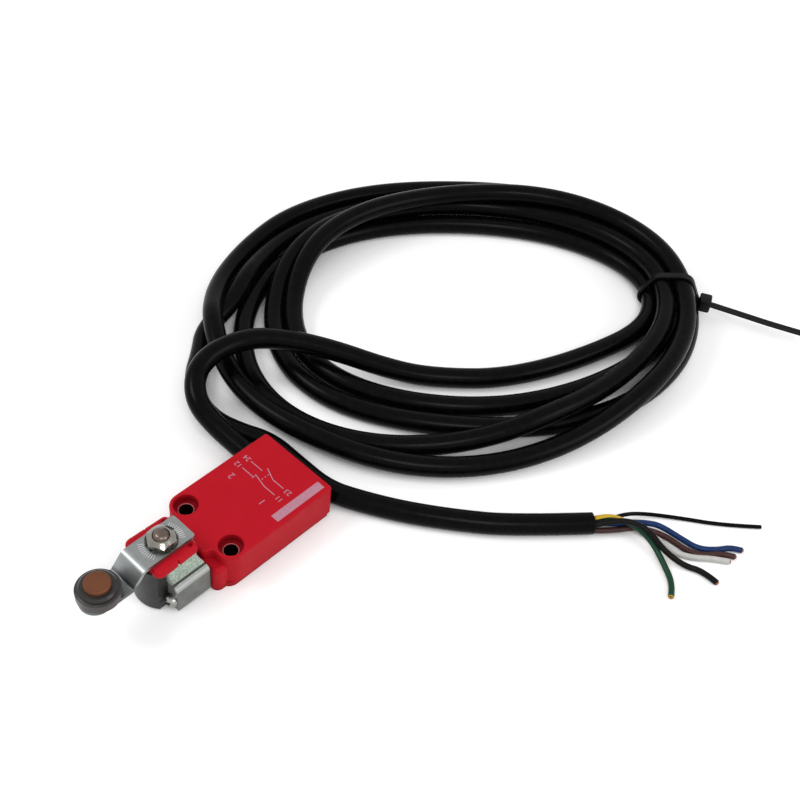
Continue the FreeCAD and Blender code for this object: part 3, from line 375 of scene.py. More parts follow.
def moulded_plastic(name, dark, light, low, high, **sockets):
    """Moulded plastic: a faint mottle in the colour and a fine die texture."""
    made = Finish(name, **sockets)
    made.colour(made.tint(made.noise(size=6.0, detail=4.0), dark, light))
    made.roughness(made.spread(made.noise(size=1.6), low, high))
    made.bump(made.noise(size=0.35, detail=2.0), depth=0.012)
    return made.material


def case_red():
    """The case's red plastic, dark inside the two fixing holes where little light reaches."""
    made = Finish("red_plastic", Specular_IOR_Level=0.08)
    x, y, z = made.axes()
    aside = made.math("SUBTRACT", made.math("ABSOLUTE", x), HOLE_HALF * MM)
    from_axis = made.distance(aside, y)
    sunk = made.product(made.falling(from_axis, SEAT_EDGE), made.falling(z, SEAT_DEPTH, SEAT_SHADE))
    red = made.tint(made.noise(size=7.0), (0.455, 0.0062, 0.0150), (0.485, 0.0078, 0.0175))
    shaded = made.blended(sunk, red, (0.085, 0.0022, 0.0045))
    made.colour(made.blended(made.falling(from_axis, BORE_EDGE), shaded, (0.010, 0.0012, 0.0016)))
    made.roughness(made.spread(made.noise(size=1.6), 0.40, 0.52))
    made.bump(made.noise(size=0.35, detail=2.0), depth=0.008)
    return made.material


def lever_sheet():
    """Brushed steel strip: a flat, a step down painted lighter and an end painted darker as painted light and
    shade, with a painted highlight along the bend.
    """
    made = Finish("lever_steel", Metallic=1.0)
    brushed = made.noise(size=0.5, detail=4.0, stretch=(5.0, 0.4, 5.0))
    patina = made.noise(size=3.5)
    flat = made.tint(patina, (0.235, 0.247, 0.244), (0.280, 0.293, 0.290))
    # The step is painted lighter and the end painted darker: painted light and painted shade on one steel.
    lit_step = made.tint(patina, (0.300, 0.313, 0.320), (0.360, 0.376, 0.382))
    end = made.tint(patina, (0.105, 0.110, 0.112), (0.150, 0.156, 0.158))
    y, z = made.axes()[1:]
    lower = made.blended(made.rising(z, LEVER_STEP_FOOT), end, lit_step)
    sheet = made.blended(made.rising(z, LEVER_STEP_HEAD), lower, flat)
    # A painted highlight along the bend.
    bend_highlight = made.product(made.rising(y, LEVER_BEND_START), made.falling(y, LEVER_BEND_END))
    made.colour(made.blended(bend_highlight, sheet, (0.36, 0.375, 0.38)))
    made.roughness(made.spread(brushed, 0.32, 0.44))
    made.bump(brushed, depth=0.005)
    return made.material


def worked_metal(name, dark, light, low, high):
    """Metal with a faint patina and fine marks from its tooling."""
    made = Finish(name, Metallic=1.0)
    marks = made.noise(size=0.5, detail=4.0)
    made.colour(made.tint(made.noise(size=3.5), dark, light))
    made.roughness(made.spread(marks, low, high))
    made.bump(marks, depth=0.006)
    return made.material


def cast_zinc():
    """Die-cast zinc: speckled, slightly green and painted lighter on top as painted light, dull on the sides,
    painted dark on the drum as painted shade, and with a painted highlight along the boss's rounded edge.
    """
    made = Finish("cast_zinc", Metallic=0.15, Specular_IOR_Level=0.25)
    x, y, z = made.axes()
    aside = made.math("ABSOLUTE", x)
    speckle = made.noise(size=0.5, detail=4.0)
    cloud = made.noise(size=4.0)
    # The top is painted lighter than the sides as painted light, over the zinc's own speckle.
    speckled_lit_top = made.ramp(speckle, (0.32, (0.30, 0.375, 0.315)), (0.52, (0.50, 0.595, 0.515)),
                        (0.72, (0.78, 0.86, 0.79)))
    dull = made.tint(cloud, (0.120, 0.124, 0.116), (0.185, 0.190, 0.180))
    # The drum is painted dark: painted shade where it lies under the cap and the lever.
    painted_drum_shade = made.tint(cloud, (0.014, 0.016, 0.014), (0.032, 0.035, 0.032))
    drum = made.blended(made.rising(aside, DRUM_SIDE), painted_drum_shade, dull)
    upper = made.product(made.rising(z, HEAD_TOP), made.falling(y, HEAD_FRONT))
    cast = made.blended(upper, drum, speckled_lit_top)
    # A painted highlight along the boss's rounded edge.
    rounded_edge_highlight = made.product(made.rising(aside, BOSS_SIDE), made.rising(z, BOSS_ROUND))
    made.colour(made.blended(rounded_edge_highlight, cast, (0.40, 0.42, 0.40)))
    made.roughness(made.spread(cloud, 0.28, 0.40))
    made.bump(speckle, depth=0.006)
    return made.material


def jacket_black():
    """Glossy extruded jacket with a faint skin and scuffs."""
    made = Finish("jacket_black", Specular_IOR_Level=0.055)
    scuff = made.noise(size=2.4, detail=5.0)
    made.colour(made.ramp(scuff, (0.35, (0.0010, 0.0010, 0.0011)), (0.75, (0.0026, 0.0026, 0.0028))))
    made.roughness(made.spread(scuff, 0.21, 0.31))
    made.bump(made.noise(size=0.6), depth=0.015)
    return made.material


def insulated(made):
    """Adds the sheen and the skin of extruded insulation to a finish that has its colour."""
    made.roughness(made.spread(made.noise(size=0.7, detail=2.0), 0.30, 0.44))
    made.bump(made.noise(size=0.4, detail=2.0), depth=0.012)
    return made.material


def wire_skin(name, dark, light, gloss=0.2):
    made = Finish(name, Specular_IOR_Level=gloss)
    made.colour(made.tint(made.noise(size=1.8), dark, light))
    return insulated(made)


def earth_skin():
    """Green insulation with a yellow stripe that winds around it."""
    made = Finish("earth_skin", Specular_IOR_Level=0.2)
    across = made.node("ShaderNodeSeparateXYZ")
    made.feed(across.inputs["Vector"], made.node("ShaderNodeUVMap", uv_map="wrap").outputs["UV"])
    around = made.math("FRACT", across.outputs["X"])
    stripe = made.spread(around, 0.0, 1.0, *STRIPE_EDGE)
    made.colour(made.ramp(stripe, (0.45, (0.60, 0.38, 0.020)), (0.55, (0.003, 0.042, 0.021))))
    return insulated(made)


def roller_tyre():
    """Grey moulded roller with turned rings, darker on its crown than on its running band."""
    made = Finish("roller_plastic", Specular_IOR_Level=0.25)
    x, y, z = made.axes()
    from_axis = made.distance(x, made.math("SUBTRACT", y, ROLLER_AXIS.y * MM))
    rings = made.math("SINE", made.product(from_axis, math.tau / (ROLLER_RINGS * MM)))
    mottle = made.noise(size=3.0)
    band = made.tint(mottle, (0.050, 0.043, 0.043), (0.072, 0.062, 0.061))
    crown = made.tint(mottle, (0.021, 0.018, 0.018), (0.034, 0.029, 0.029))
    made.colour(made.blended(made.rising(z, ROLLER_CROWN), band, crown))
    made.roughness(made.spread(made.noise(size=1.2), 0.26, 0.38))
    made.bump(rings, depth=0.008)
    made.bump(made.noise(size=0.35, detail=2.0), depth=0.008)
    return made.material


def print_white():
    """Pale ink, thin enough for the red to show through."""
    made = Finish("print_white", Specular_IOR_Level=0.1)
    ink = made.noise(size=0.5, detail=4.0)
    made.colour(made.ramp(ink, (0.3, (0.43, 0.175, 0.245)), (0.65, (0.53, 0.27, 0.34))))
    made.roughness(made.spread(made.noise(size=0.8), 0.42, 0.56))
    return made.material


FINISHES = {
    "red_plastic": case_red(),
    "dark_red_plastic": moulded_plastic("dark_red_plastic", (0.33, 0.005, 0.012), (0.38, 0.007, 0.015),
                                        0.42, 0.55, Specular_IOR_Level=0.1),
    "cream_plastic": moulded_plastic("cream_plastic", (0.62, 0.55, 0.42), (0.70, 0.63, 0.50), 0.4, 0.52),
    "contact_brass": worked_metal("contact_brass", (0.60, 0.42, 0.16), (0.72, 0.52, 0.22), 0.22, 0.38),
    "spring_steel": worked_metal("spring_steel", (0.30, 0.30, 0.31), (0.42, 0.42, 0.43), 0.22, 0.36),
    "seal_rubber": moulded_plastic("seal_rubber", (0.008, 0.008, 0.008), (0.014, 0.014, 0.013),
                                   0.55, 0.72, Specular_IOR_Level=0.3),
    "dark_resin": moulded_plastic("dark_resin", (0.010, 0.009, 0.008), (0.020, 0.018, 0.016), 0.25, 0.42),
    "cast_zinc": cast_zinc(),
    "screw_steel": worked_metal("screw_steel", (0.24, 0.235, 0.225), (0.40, 0.39, 0.37), 0.20, 0.34),
    "lever_steel": lever_sheet(),
    "dark_steel": worked_metal("dark_steel", (0.045, 0.05, 0.045), (0.11, 0.12, 0.105), 0.30, 0.45),
    "nickel": worked_metal("nickel", (0.21, 0.20, 0.175), (0.31, 0.295, 0.265), 0.13, 0.22),
    "roller_plastic": roller_tyre(),
    "rivet_copper": moulded_plastic("rivet_copper", (0.128, 0.048, 0.024), (0.165, 0.063, 0.032),
                                    0.46, 0.58, Metallic=0.35, Specular_IOR_Level=0.1),
    "cable_jacket": jacket_black(),
    "wire_blue": wire_skin("blue_insulation", (0.0025, 0.020, 0.090), (0.0050, 0.031, 0.125)),
    "wire_brown": wire_skin("brown_insulation", (0.036, 0.013, 0.011), (0.058, 0.021, 0.017)),
    "wire_white": wire_skin("white_insulation", (0.50, 0.485, 0.465), (0.60, 0.585, 0.565)),
    "wire_black": wire_skin("black_insulation", (0.0035, 0.0033, 0.0033), (0.0070, 0.0064, 0.0062), 0.08),
    "wire_earth": earth_skin(),
    "copper": worked_metal("bare_copper", (0.34, 0.135, 0.065), (0.48, 0.21, 0.11), 0.26, 0.40),
    "tie_plastic": moulded_plastic("tie_nylon", (0.0035, 0.0036, 0.0036), (0.0075, 0.0076, 0.0076),
                                   0.34, 0.48, Specular_IOR_Level=0.1),
}
STUD_BRONZED = worked_metal("stud_bronzed", (0.115, 0.087, 0.074), (0.165, 0.128, 0.108), 0.24, 0.34)
PRINT_WHITE = print_white()
MARK_BRIGHT = worked_metal("mark_bright", (0.48, 0.50, 0.49), (0.60, 0.62, 0.61), 0.35, 0.45)
# A paler red for the bead round each bore: a painted highlight.
RIM_HIGHLIGHT = moulded_plastic("rim_highlight", (0.40, 0.075, 0.085), (0.52, 0.13, 0.14), 0.36, 0.46,
                           Specular_IOR_Level=0.2)


def show(name, data):
    piece = bpy.data.objects.new(name, data)
    SCENE.collection.objects.link(piece)
    return piece


def mesh_piece(name, made, finish, smooth=True):
    """Turns a bmesh in millimetres into a finished piece of the scene."""
    bmesh.ops.scale(made, vec=(MM, MM, MM), verts=made.verts)
    bmesh.ops.recalc_face_normals(made, faces=made.faces)
    data = bpy.data.meshes.new(name)
    made.to_mesh(data)
    made.free()
    data.polygons.foreach_set("use_smooth", [smooth] * len(data.polygons))
    data.materials.append(finish)
    return show(name, data)


def shape_of(piece):
    """A mesh of the piece as it stands, with its modifiers and its curve worked out."""
    return bpy.data.meshes.new_from_object(piece.evaluated_get(bpy.context.evaluated_depsgraph_get()))


def set_camera():
    data = bpy.data.cameras.new("camera")
    data.lens = CAMERA_LENS
    data.sensor_width = CAMERA_SENSOR
    data.clip_start = CAMERA_NEAR * MM
    camera = show("camera", data)
    turn = (CAMERA_AIM - CAMERA_PLACE).to_track_quat("-Z", "Y").to_matrix()
    turn = turn @ Matrix.Rotation(CAMERA_ROLL, 3, "Z")
    camera.matrix_world = Matrix.Translation(CAMERA_PLACE * MM) @ turn.to_4x4()
    SCENE.camera = camera


def nurbs(name, route):
    """A smooth line: the route's points in millimetres are the control points of one NURBS spline."""
    data = bpy.data.curves.new(name, "CURVE")
    data.dimensions = "3D"
    spline = data.splines.new("NURBS")
    spline.points.add(len(route) - 1)
    for point, place in zip(spline.points, route):
        point.co = (*(c * MM for c in place), 1.0)
    spline.order_u = 3
    spline.use_endpoint_u = True
    spline.resolution_u = SPLINE_STEPS
    return show(name, data)


def round_cord(name, route, radius, finish, rings):
    cord = nurbs(name, route)
    cord.data.bevel_depth = radius * MM
    cord.data.bevel_resolution = rings
    cord.data.use_fill_caps = True
    cord.data.materials.append(finish)
    return cord


def centreline(route):
    """The points, in millimetres, of the smooth line that a route gives."""
    line = nurbs("centreline", route)
    data = shape_of(line)
    points = [vertex.co / MM for vertex in data.vertices]
    bpy.data.meshes.remove(data)
    bpy.data.curves.remove(line.data)
    return points


def line_length(points):
    """The length in metres of a line of points in millimetres."""
    return sum((b - a).length for a, b in zip(points, points[1:])) * MM


def coil_lane(eighth):
    """The lane at a number of eighth turns from the start, on a Catmull-Rom curve through the given lanes."""
    last = len(COIL_LANES) - 1
    first = min(int(eighth), last - 1)
    t = eighth - first
    before, here, after, beyond = (COIL_LANES[min(max(first + k, 0), last)] for k in (-1, 0, 1, 2))
    return 0.5 * (2 * here + (after - before) * t + (2 * before - 5 * here + 4 * after - beyond) * t ** 2
                  + (3 * here - before - 3 * after + beyond) * t ** 3)


def coil_place(angle, lane):
    """The coil's middle in plan and the reach from it to a strand, by angle from the front and by lane."""
    centre = COIL_CENTRE[0].lerp(COIL_CENTRE[1], lane)
    right = COIL_RIGHT[0].lerp(COIL_RIGHT[1], lane)
    away = COIL_AWAY[0].lerp(COIL_AWAY[1], lane)
    return centre, right * math.sin(angle) - away * math.cos(angle)


def tie_lift(angle):
    """The strap under the strands lifts them where it passes."""
    off = (angle - TIE_ANGLE + math.pi) % math.tau - math.pi
    return TIE_THICKNESS * math.exp(-(off / TIE_LIFT_SPREAD) ** 2)


def coil_heights(plan):
    """Lays the turns on the floor and on each other, in the order in which they are stacked."""
    spacing = 2 * CABLE_RADIUS
    heights = [CABLE_RADIUS] * len(plan)
    for sweep in range(COIL_SETTLING):
        eased = [(heights[max(i - 1, 0)] + 2 * heights[i] + heights[min(i + 1, len(plan) - 1)]) / 4
                 for i in range(len(plan))]
        settled = []
        for turn in COIL_STACK:
            for i in range(turn * COIL_STEPS, (turn + 1) * COIL_STEPS):
                level = CABLE_RADIUS + tie_lift(math.tau * i / COIL_STEPS)
                for below in settled:
                    under = below * COIL_STEPS + i % COIL_STEPS
                    apart = (plan[i] - plan[under]).length
                    if apart < spacing:
                        level = max(level, heights[under] + math.sqrt(spacing ** 2 - apart ** 2))
                heights[i] = max(level, eased[i] if sweep else 0.0)
            settled.append(turn)
    return heights


def coil_route():
    """Control points of the five turns, set out so that the spline runs on the strands' places."""
    # A spline of order 3 runs inside control points on a circle by this share.
    shrink = 0.75 + 0.25 * math.cos(math.tau / COIL_STEPS)
    angles = [math.tau * i / COIL_STEPS for i in range(COIL_TURNS * COIL_STEPS)]
    places = [coil_place(a, coil_lane(COIL_EIGHTHS * a / math.tau)) for a in angles]
    heights = coil_heights([centre + reach for centre, reach in places])
    route = [(*(centre + reach / shrink), height) for (centre, reach), height in zip(places, heights)]
    return route[:COIL_LAST + 1]


def lay_cable():
    """The lead, the coil and the tail are one length of cable; gives the points of its centre line."""
    route = LEAD_ROUTE + coil_route() + TAIL_ROUTE
    cable = round_cord("cable", route, CABLE_RADIUS, FINISHES["cable_jacket"], CABLE_RINGS)
    points = centreline(route)
    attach(cable, "base")
    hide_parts("cable_lead", "cable_coil", "cable_tail")
    return points


def tube_frames(points):
    """Two directions across a line at each of its points, carried along without twist."""
    across = UPRIGHT
    frames = []
    for i in range(len(points)):
        along = (points[min(i + 1, len(points) - 1)] - points[max(i - 1, 0)]).normalized()
        across = (across - along * across.dot(along)).normalized()
        frames.append((across, along.cross(across)))
    return frames


def striped_tube(name, points, radius, finish):
    """A round tube along the points, with a map that winds around it for its stripe."""
    made = bmesh.new()
    wrap = made.loops.layers.uv.new("wrap")
    angles = [math.tau * k / STRIPE_SIDES for k in range(STRIPE_SIDES)]
    rows = []
    for point, (across, beside) in zip(points, tube_frames(points)):
        ring = [point + radius * (across * math.cos(a) + beside * math.sin(a)) for a in angles]
        rows.append([made.verts.new(place) for place in ring])
    for i in range(len(rows) - 1):
        for k in range(STRIPE_SIDES):
            n = (k + 1) % STRIPE_SIDES
            face = made.faces.new((rows[i][k], rows[i][n], rows[i + 1][n], rows[i + 1][k]))
            corners = ((i, k), (i, k + 1), (i + 1, k + 1), (i + 1, k))
            for loop, (row, side) in zip(face.loops, corners):
                share = row / len(rows)
                loop[wrap].uv = (side / STRIPE_SIDES + STRIPE_START + STRIPE_WINDING * share, share)
    made.faces.new(rows[0])
    made.faces.new(rows[-1])
    return mesh_piece(name, made, finish)


def lay_wires():
    """The conductors beyond the end of the jacket; gives the place and direction of each copper end."""
    ends = []
    for name, offsets in WIRE_ROUTES.items():
        route = [Vector(JACKET_END) + Vector(offset) for offset in offsets]
        radius = FILLER_RADIUS if name == "filler_cord" else WIRE_RADIUS
        slot = "cable_jacket" if name == "filler_cord" else name
        points = centreline(route)
        facts = dict(exit=tuple(route[0] * MM), length=line_length(points), diameter=2 * radius * MM,
                     far_end="bare", stiffness="medium", lay="loose")
        if name == "wire_earth":
            wire = striped_tube("earth_wire", points, radius, FINISHES[slot])
            facts["path"] = [tuple(point * MM) for point in points]
        else:
            strand = name.replace("wire_", "") + "_strand"
            wire = round_cord(strand, route, radius, FINISHES[slot], WIRE_RINGS)
        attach(wire, "base")
        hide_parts(name)
        if name != "filler_cord":
            ends.append((points[-1], (points[-1] - points[-2]).normalized()))
    return ends


class Growth:
    """A Geometry Nodes tree; its named inputs are the sizes of what it makes."""

    def __init__(self, name, **sizes):
        self.tree = bpy.data.node_groups.new(name, "GeometryNodeTree")
        face = self.tree.interface
        face.new_socket("Geometry", in_out="INPUT", socket_type="NodeSocketGeometry")
        face.new_socket("Geometry", in_out="OUTPUT", socket_type="NodeSocketGeometry")
        self.sizes = {}
        for size, value in sizes.items():
            kind = "NodeSocketInt" if isinstance(value, int) else "NodeSocketFloat"
            self.sizes[face.new_socket(size, in_out="INPUT", socket_type=kind).identifier] = value
        self.given = self.tree.nodes.new("NodeGroupInput").outputs
        self.result = self.tree.nodes.new("NodeGroupOutput").inputs[0]

    def add(self, kind, feeds, **settings):
        made = self.tree.nodes.new(kind)
        for key, value in settings.items():
            setattr(made, key, value)
        for socket, value in feeds.items():
            if isinstance(value, bpy.types.NodeSocket):
                self.tree.links.new(value, made.inputs[socket])
            else:
                made.inputs[socket].default_value = value
        return made.outputs[0]

    def math(self, operation, first, second=0.0):
        return self.add("ShaderNodeMath", {0: first, 1: second}, operation=operation)

    def product(self, first, second):
        return self.math("MULTIPLY", first, second)

    def vector(self, x, y, z):
        return self.add("ShaderNodeCombineXYZ", {0: x, 1: y, 2: z})

    def box(self, x, y, z):
        return self.add("GeometryNodeMeshCube", {"Size": self.vector(x, y, z)})

    def cylinder(self, sides, radius, depth):
        return self.add("GeometryNodeMeshCylinder", {"Vertices": sides, "Radius": radius, "Depth": depth})

    def moved(self, shape, **places):
        return self.add("GeometryNodeTransform", {"Geometry": shape, **places})

    def lifted(self, shape, height, **places):
        return self.moved(shape, Translation=self.vector(0.0, 0.0, height), **places)

    def joined(self, *shapes):
        made = self.tree.nodes.new("GeometryNodeJoinGeometry")
        for shape in shapes:
            self.tree.links.new(shape, made.inputs[0])
        return made.outputs[0]

    def common(self, first, second):
        """What two shapes share."""
        made = self.add("GeometryNodeMeshBoolean", {"Mesh 2": first}, operation="INTERSECT")
        self.tree.links.new(second, made.node.inputs["Mesh 2"])
        return made

    def cut(self, shape, first, second):
        """The shape without two others."""
        made = self.add("GeometryNodeMeshBoolean", {"Mesh 1": shape, "Mesh 2": first}, operation="DIFFERENCE")
        self.tree.links.new(second, made.node.inputs["Mesh 2"])
        return made

    def repeated(self, points, shape, **feeds):
        return self.add("GeometryNodeInstanceOnPoints", {"Points": points, "Instance": shape, **feeds})

    def facing_turn(self):
        """The turn that brings a shape's upright axis to the direction of the point it grows on."""
        facing = self.add("GeometryNodeInputNamedAttribute", {"Name": "facing"}, data_type="FLOAT_VECTOR")
        return self.add("FunctionNodeAlignRotationToVector", {"Vector": facing}, axis="Z")

    def piece(self, name, seed, shape, finish, body, slot):
        """Grows the shape on the seed, leaves it as a plain mesh and puts it on its body."""
        whole = self.add("GeometryNodeRealizeInstances", {"Geometry": shape})
        dressed = self.add("GeometryNodeSetMaterial", {"Geometry": whole, "Material": finish})
        self.tree.links.new(dressed, self.result)
        grower = show(name + "_seed", seed)
        growth = grower.modifiers.new("growth", "NODES")
        growth.node_group = self.tree
        for identifier, value in self.sizes.items():
            growth[identifier] = value
        data = shape_of(grower)
        bpy.data.objects.remove(grower)
        data.polygons.foreach_set("use_smooth", [True] * len(data.polygons))
        data.set_sharp_from_angle(angle=SHARP_ANGLE)
        grown = show(name, data)
        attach(grown, body)
        return grown


def seed_points(name, places, directions=None):
    """A mesh of bare points in millimetres, each with the direction that it faces."""
    data = bpy.data.meshes.new(name)
    data.from_pydata([Vector(place) * MM for place in places], [], [])
    facing = data.attributes.new("facing", "FLOAT_VECTOR", "POINT")
    for item, direction in zip(facing.data, directions or [UPRIGHT] * len(places)):
        item.vector = direction
    return data


def cut_index_marks():
    """Two fans of fine marks on the lever's flat, in front of the nut and behind it."""
    fan = Growth("index_marks", Marks=10, Step=math.radians(6.8), Inner_Radius=5.0 * MM, Length=1.7 * MM,
                 Width=0.22 * MM, Height=0.06 * MM)
    size = fan.given
    row = fan.add("GeometryNodeMeshLine", {"Count": size["Marks"], "Offset": (0.0, 0.0, 0.0)})
    middle = fan.product(fan.math("SUBTRACT", size["Marks"], 1.0), 0.5)
    number = fan.add("GeometryNodeInputIndex", {})
    turn = fan.product(fan.math("SUBTRACT", number, middle), size["Step"])
    radius = fan.math("ADD", size["Inner_Radius"], fan.product(size["Length"], 0.5))
    place = fan.vector(fan.product(radius, fan.math("SINE", turn)),
                       fan.product(radius, fan.math("COSINE", turn)), 0.0)
    spread = fan.add("GeometryNodeSetPosition", {"Geometry": row, "Position": place})
    mark = fan.box(size["Width"], size["Length"], size["Height"])
    front = fan.repeated(spread, mark, Rotation=fan.vector(0.0, 0.0, fan.product(turn, -1.0)))
    rear = fan.moved(front, Rotation=(0.0, 0.0, math.pi))
    placed = fan.moved(fan.joined(front, rear), Translation=PIVOT * MM)
    fan.piece("index_marks", seed_points("pivot", [PIVOT]), placed, MARK_BRIGHT, "lever", "lever_steel")


def drive_head_screws():
    """Pan heads with a cross recess, on their shanks."""
    screw = Growth("head_screws", Head_Radius=2.2 * MM, Head_Height=2.6 * MM, Slot_Width=0.75 * MM,
                   Slot_Length=2.7 * MM, Slot_Depth=1.1 * MM, Shank_Radius=1.3 * MM, Shank_Length=15.0 * MM)
    size = screw.given
    half = screw.product(size["Head_Height"], 0.5)
    barrel = screw.lifted(screw.cylinder(SCREW_SIDES, size["Head_Radius"], size["Head_Height"]), half)
    ball = screw.add("GeometryNodeMeshUVSphere", {"Segments": SCREW_SIDES, "Rings": 24,
                                                  "Radius": size["Head_Radius"]})
    dome = screw.lifted(ball, screw.product(half, DOME_RISE), Scale=DOME_SCALE)
    bar = screw.box(size["Slot_Width"], size["Slot_Length"], screw.product(size["Slot_Depth"], 2.0))
    cross = [screw.lifted(bar, size["Head_Height"], Rotation=(0.0, 0.0, turn))
             for turn in (SLOT_TURN, SLOT_TURN + math.pi / 2)]
    slotted = screw.cut(screw.common(barrel, dome), *cross)
    shank = screw.lifted(screw.cylinder(SHANK_SIDES, size["Shank_Radius"], size["Shank_Length"]),
                         screw.product(size["Shank_Length"], -0.5))
    seats = seed_points("screw_seats", SCREW_SEATS, [SCREW_FACING] * len(SCREW_SEATS))
    driven = screw.repeated(size["Geometry"], screw.joined(slotted, shank), Rotation=screw.facing_turn())
    made = screw.piece("pan_head_screws", seats, driven, FINISHES["screw_steel"], "base", "screw_steel")
    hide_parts("head_screws")


def bead_hole_rims():
    """A fine bead around each bore, coloured paler as a painted highlight where its edge catches the light.
    """
    bead = Growth("hole_rims", Radius=RIM_RADIUS * MM, Thickness=RIM_THICKNESS * MM)
    size = bead.given
    path = bead.add("GeometryNodeCurvePrimitiveCircle", {"Resolution": 72, "Radius": size["Radius"]})
    section = bead.add("GeometryNodeCurvePrimitiveCircle",
                       {"Resolution": 10, "Radius": bead.product(size["Thickness"], 0.5)})
    ring = bead.add("GeometryNodeCurveToMesh", {"Curve": path, "Profile Curve": section})
    seats = seed_points("hole_rims", [(x, 0.0, SEAT_FLOOR) for x in (-HOLE_HALF, HOLE_HALF)])
    rims = bead.repeated(size["Geometry"], ring)
    bead.piece("hole_rims", seats, rims, RIM_HIGHLIGHT, "base", "red_plastic")


def bare_wire_ends(ends):
    """Seven copper strands at the cut end of each conductor."""
    core = Growth("copper_strands", Strands=6, Strand_Radius=0.20 * MM, Bundle_Radius=0.40 * MM,
                  Length=CORE_LENGTH * MM, Splay=0.10)
    size = core.given
    strand = core.cylinder(STRAND_SIDES, size["Strand_Radius"], size["Length"])
    ring = core.add("GeometryNodeMeshCircle", {"Vertices": size["Strands"], "Radius": size["Bundle_Radius"]})
    most = core.vector(*[size["Splay"]] * 3)
    least = core.vector(*[core.product(size["Splay"], -1.0)] * 3)
    tilt = core.add("FunctionNodeRandomValue", {"Min": least, "Max": most, "Seed": SPLAY_SEED},
                    data_type="FLOAT_VECTOR")
    bundle = core.joined(core.repeated(ring, strand, Rotation=tilt), strand)
    places = seed_points("wire_ends", [place for place, along in ends], [along for place, along in ends])
    laid = core.repeated(size["Geometry"], bundle, Rotation=core.facing_turn())
    made = core.piece("copper_strands", places, laid, FINISHES["copper"], "base", "copper")
    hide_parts("wire_cores")


def band_rows(made, line, outs, across):
    """Rows of a flat band's bevelled section along a line, each set out along its own outward direction."""
    width, thickness = TIE_WIDTH / 2, TIE_THICKNESS / 2
    flat, edge = width - TIE_BEVEL, thickness - TIE_BEVEL
    section = [(width, edge), (flat, thickness), (-flat, thickness), (-width, edge),
               (-width, -edge), (-flat, -thickness), (flat, -thickness), (width, -edge)]
    return [[made.verts.new(point + side * a + out * o) for a, o in section]
            for point, out, side in zip(line, outs, across)]


def skin_rows(made, rows, closed):
    """Faces between each row and the next; a line that isn't closed gets a face at either end."""
    pairs = list(zip(rows, rows[1:])) + ([(rows[-1], rows[0])] if closed else [])
    for row, following in pairs:
        for k in range(len(row)):
            n = (k + 1) % len(row)
            made.faces.new((row[k], row[n], following[n], following[k]))
    if not closed:
        made.faces.new(rows[0])
        made.faces.new(rows[-1])


def strands_at_tie(cable_line, outwards, along):
    """Where the turns cross the upright plane of the tie: distance outwards and height."""
    found = []
    for a, b in zip(cable_line, cable_line[1:]):
        before, after = ((point - TIE_INSIDE).dot(along) for point in (a, b))
        if before * after <= 0.0 and before != after:
            place = a.lerp(b, before / (before - after))
            away = (place - TIE_INSIDE).dot(outwards)
            if TIE_SEARCH[0] < away < TIE_SEARCH[1]:
                found.append((away, place.z))
    return found


def pull_strap(made, strands, outwards, along):
    """The strap, pulled tight round the strands; gives how far it reaches outwards."""
    reach = CABLE_RADIUS + TIE_THICKNESS / 2
    line, outs = [], []
    for k in range(TIE_DIRECTIONS):
        a = math.tau * k / TIE_DIRECTIONS
        away, height = max(strands, key=lambda s: s[0] * math.cos(a) + s[1] * math.sin(a))
        out = outwards * math.cos(a) + UPRIGHT * math.sin(a)
        line.append(TIE_INSIDE + outwards * away + UPRIGHT * height + out * reach)
        outs.append(out)
    skin_rows(made, band_rows(made, line, outs, [along] * len(line)), True)
    return max((point - TIE_INSIDE).dot(outwards) for point in line)


def set_tie_head(made, middle, outwards, along):
    head = bmesh.new()
    bmesh.ops.create_cube(head, size=1.0)
    bmesh.ops.scale(head, vec=TIE_HEAD, verts=head.verts)
    bmesh.ops.bevel(head, geom=head.edges[:], offset=TIE_HEAD_BEVEL, segments=3, profile=0.5, affect="EDGES")
    turn = Matrix((outwards, along, UPRIGHT)).transposed().to_4x4()
    bmesh.ops.transform(head, matrix=Matrix.Translation(middle) @ turn, verts=head.verts)
    block = bpy.data.meshes.new("tie_head")
    head.to_mesh(block)
    head.free()
    made.from_mesh(block)
    bpy.data.meshes.remove(block)


def fasten_tie(cable_line):
    """The tie's strap, square head and free end; gives the head's middle and the line of the free end."""
    outwards = (TIE_OUTSIDE - TIE_INSIDE).normalized()
    along = UPRIGHT.cross(outwards)
    made = bmesh.new()
    edge = pull_strap(made, strands_at_tie(cable_line, outwards, along), outwards, along)
    middle = TIE_INSIDE + outwards * (edge + TIE_HEAD[0] / 2 - TIE_THICKNESS / 2) + UPRIGHT * TIE_HEIGHT
    set_tie_head(made, middle, outwards, along)

    tail = centreline([middle] + TIE_TAIL)
    across = [(tail[min(i + 1, len(tail) - 1)] - tail[max(i - 1, 0)]).cross(UPRIGHT).normalized()
              for i in range(len(tail))]
    skin_rows(made, band_rows(made, tail, [UPRIGHT] * len(tail), across), False)
    tie = mesh_piece("tie_band", made, FINISHES["tie_plastic"])
    tie.data.set_sharp_from_angle(angle=SHARP_ANGLE)
    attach(tie, "base")
    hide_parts("cable_tie")
    return middle, tail


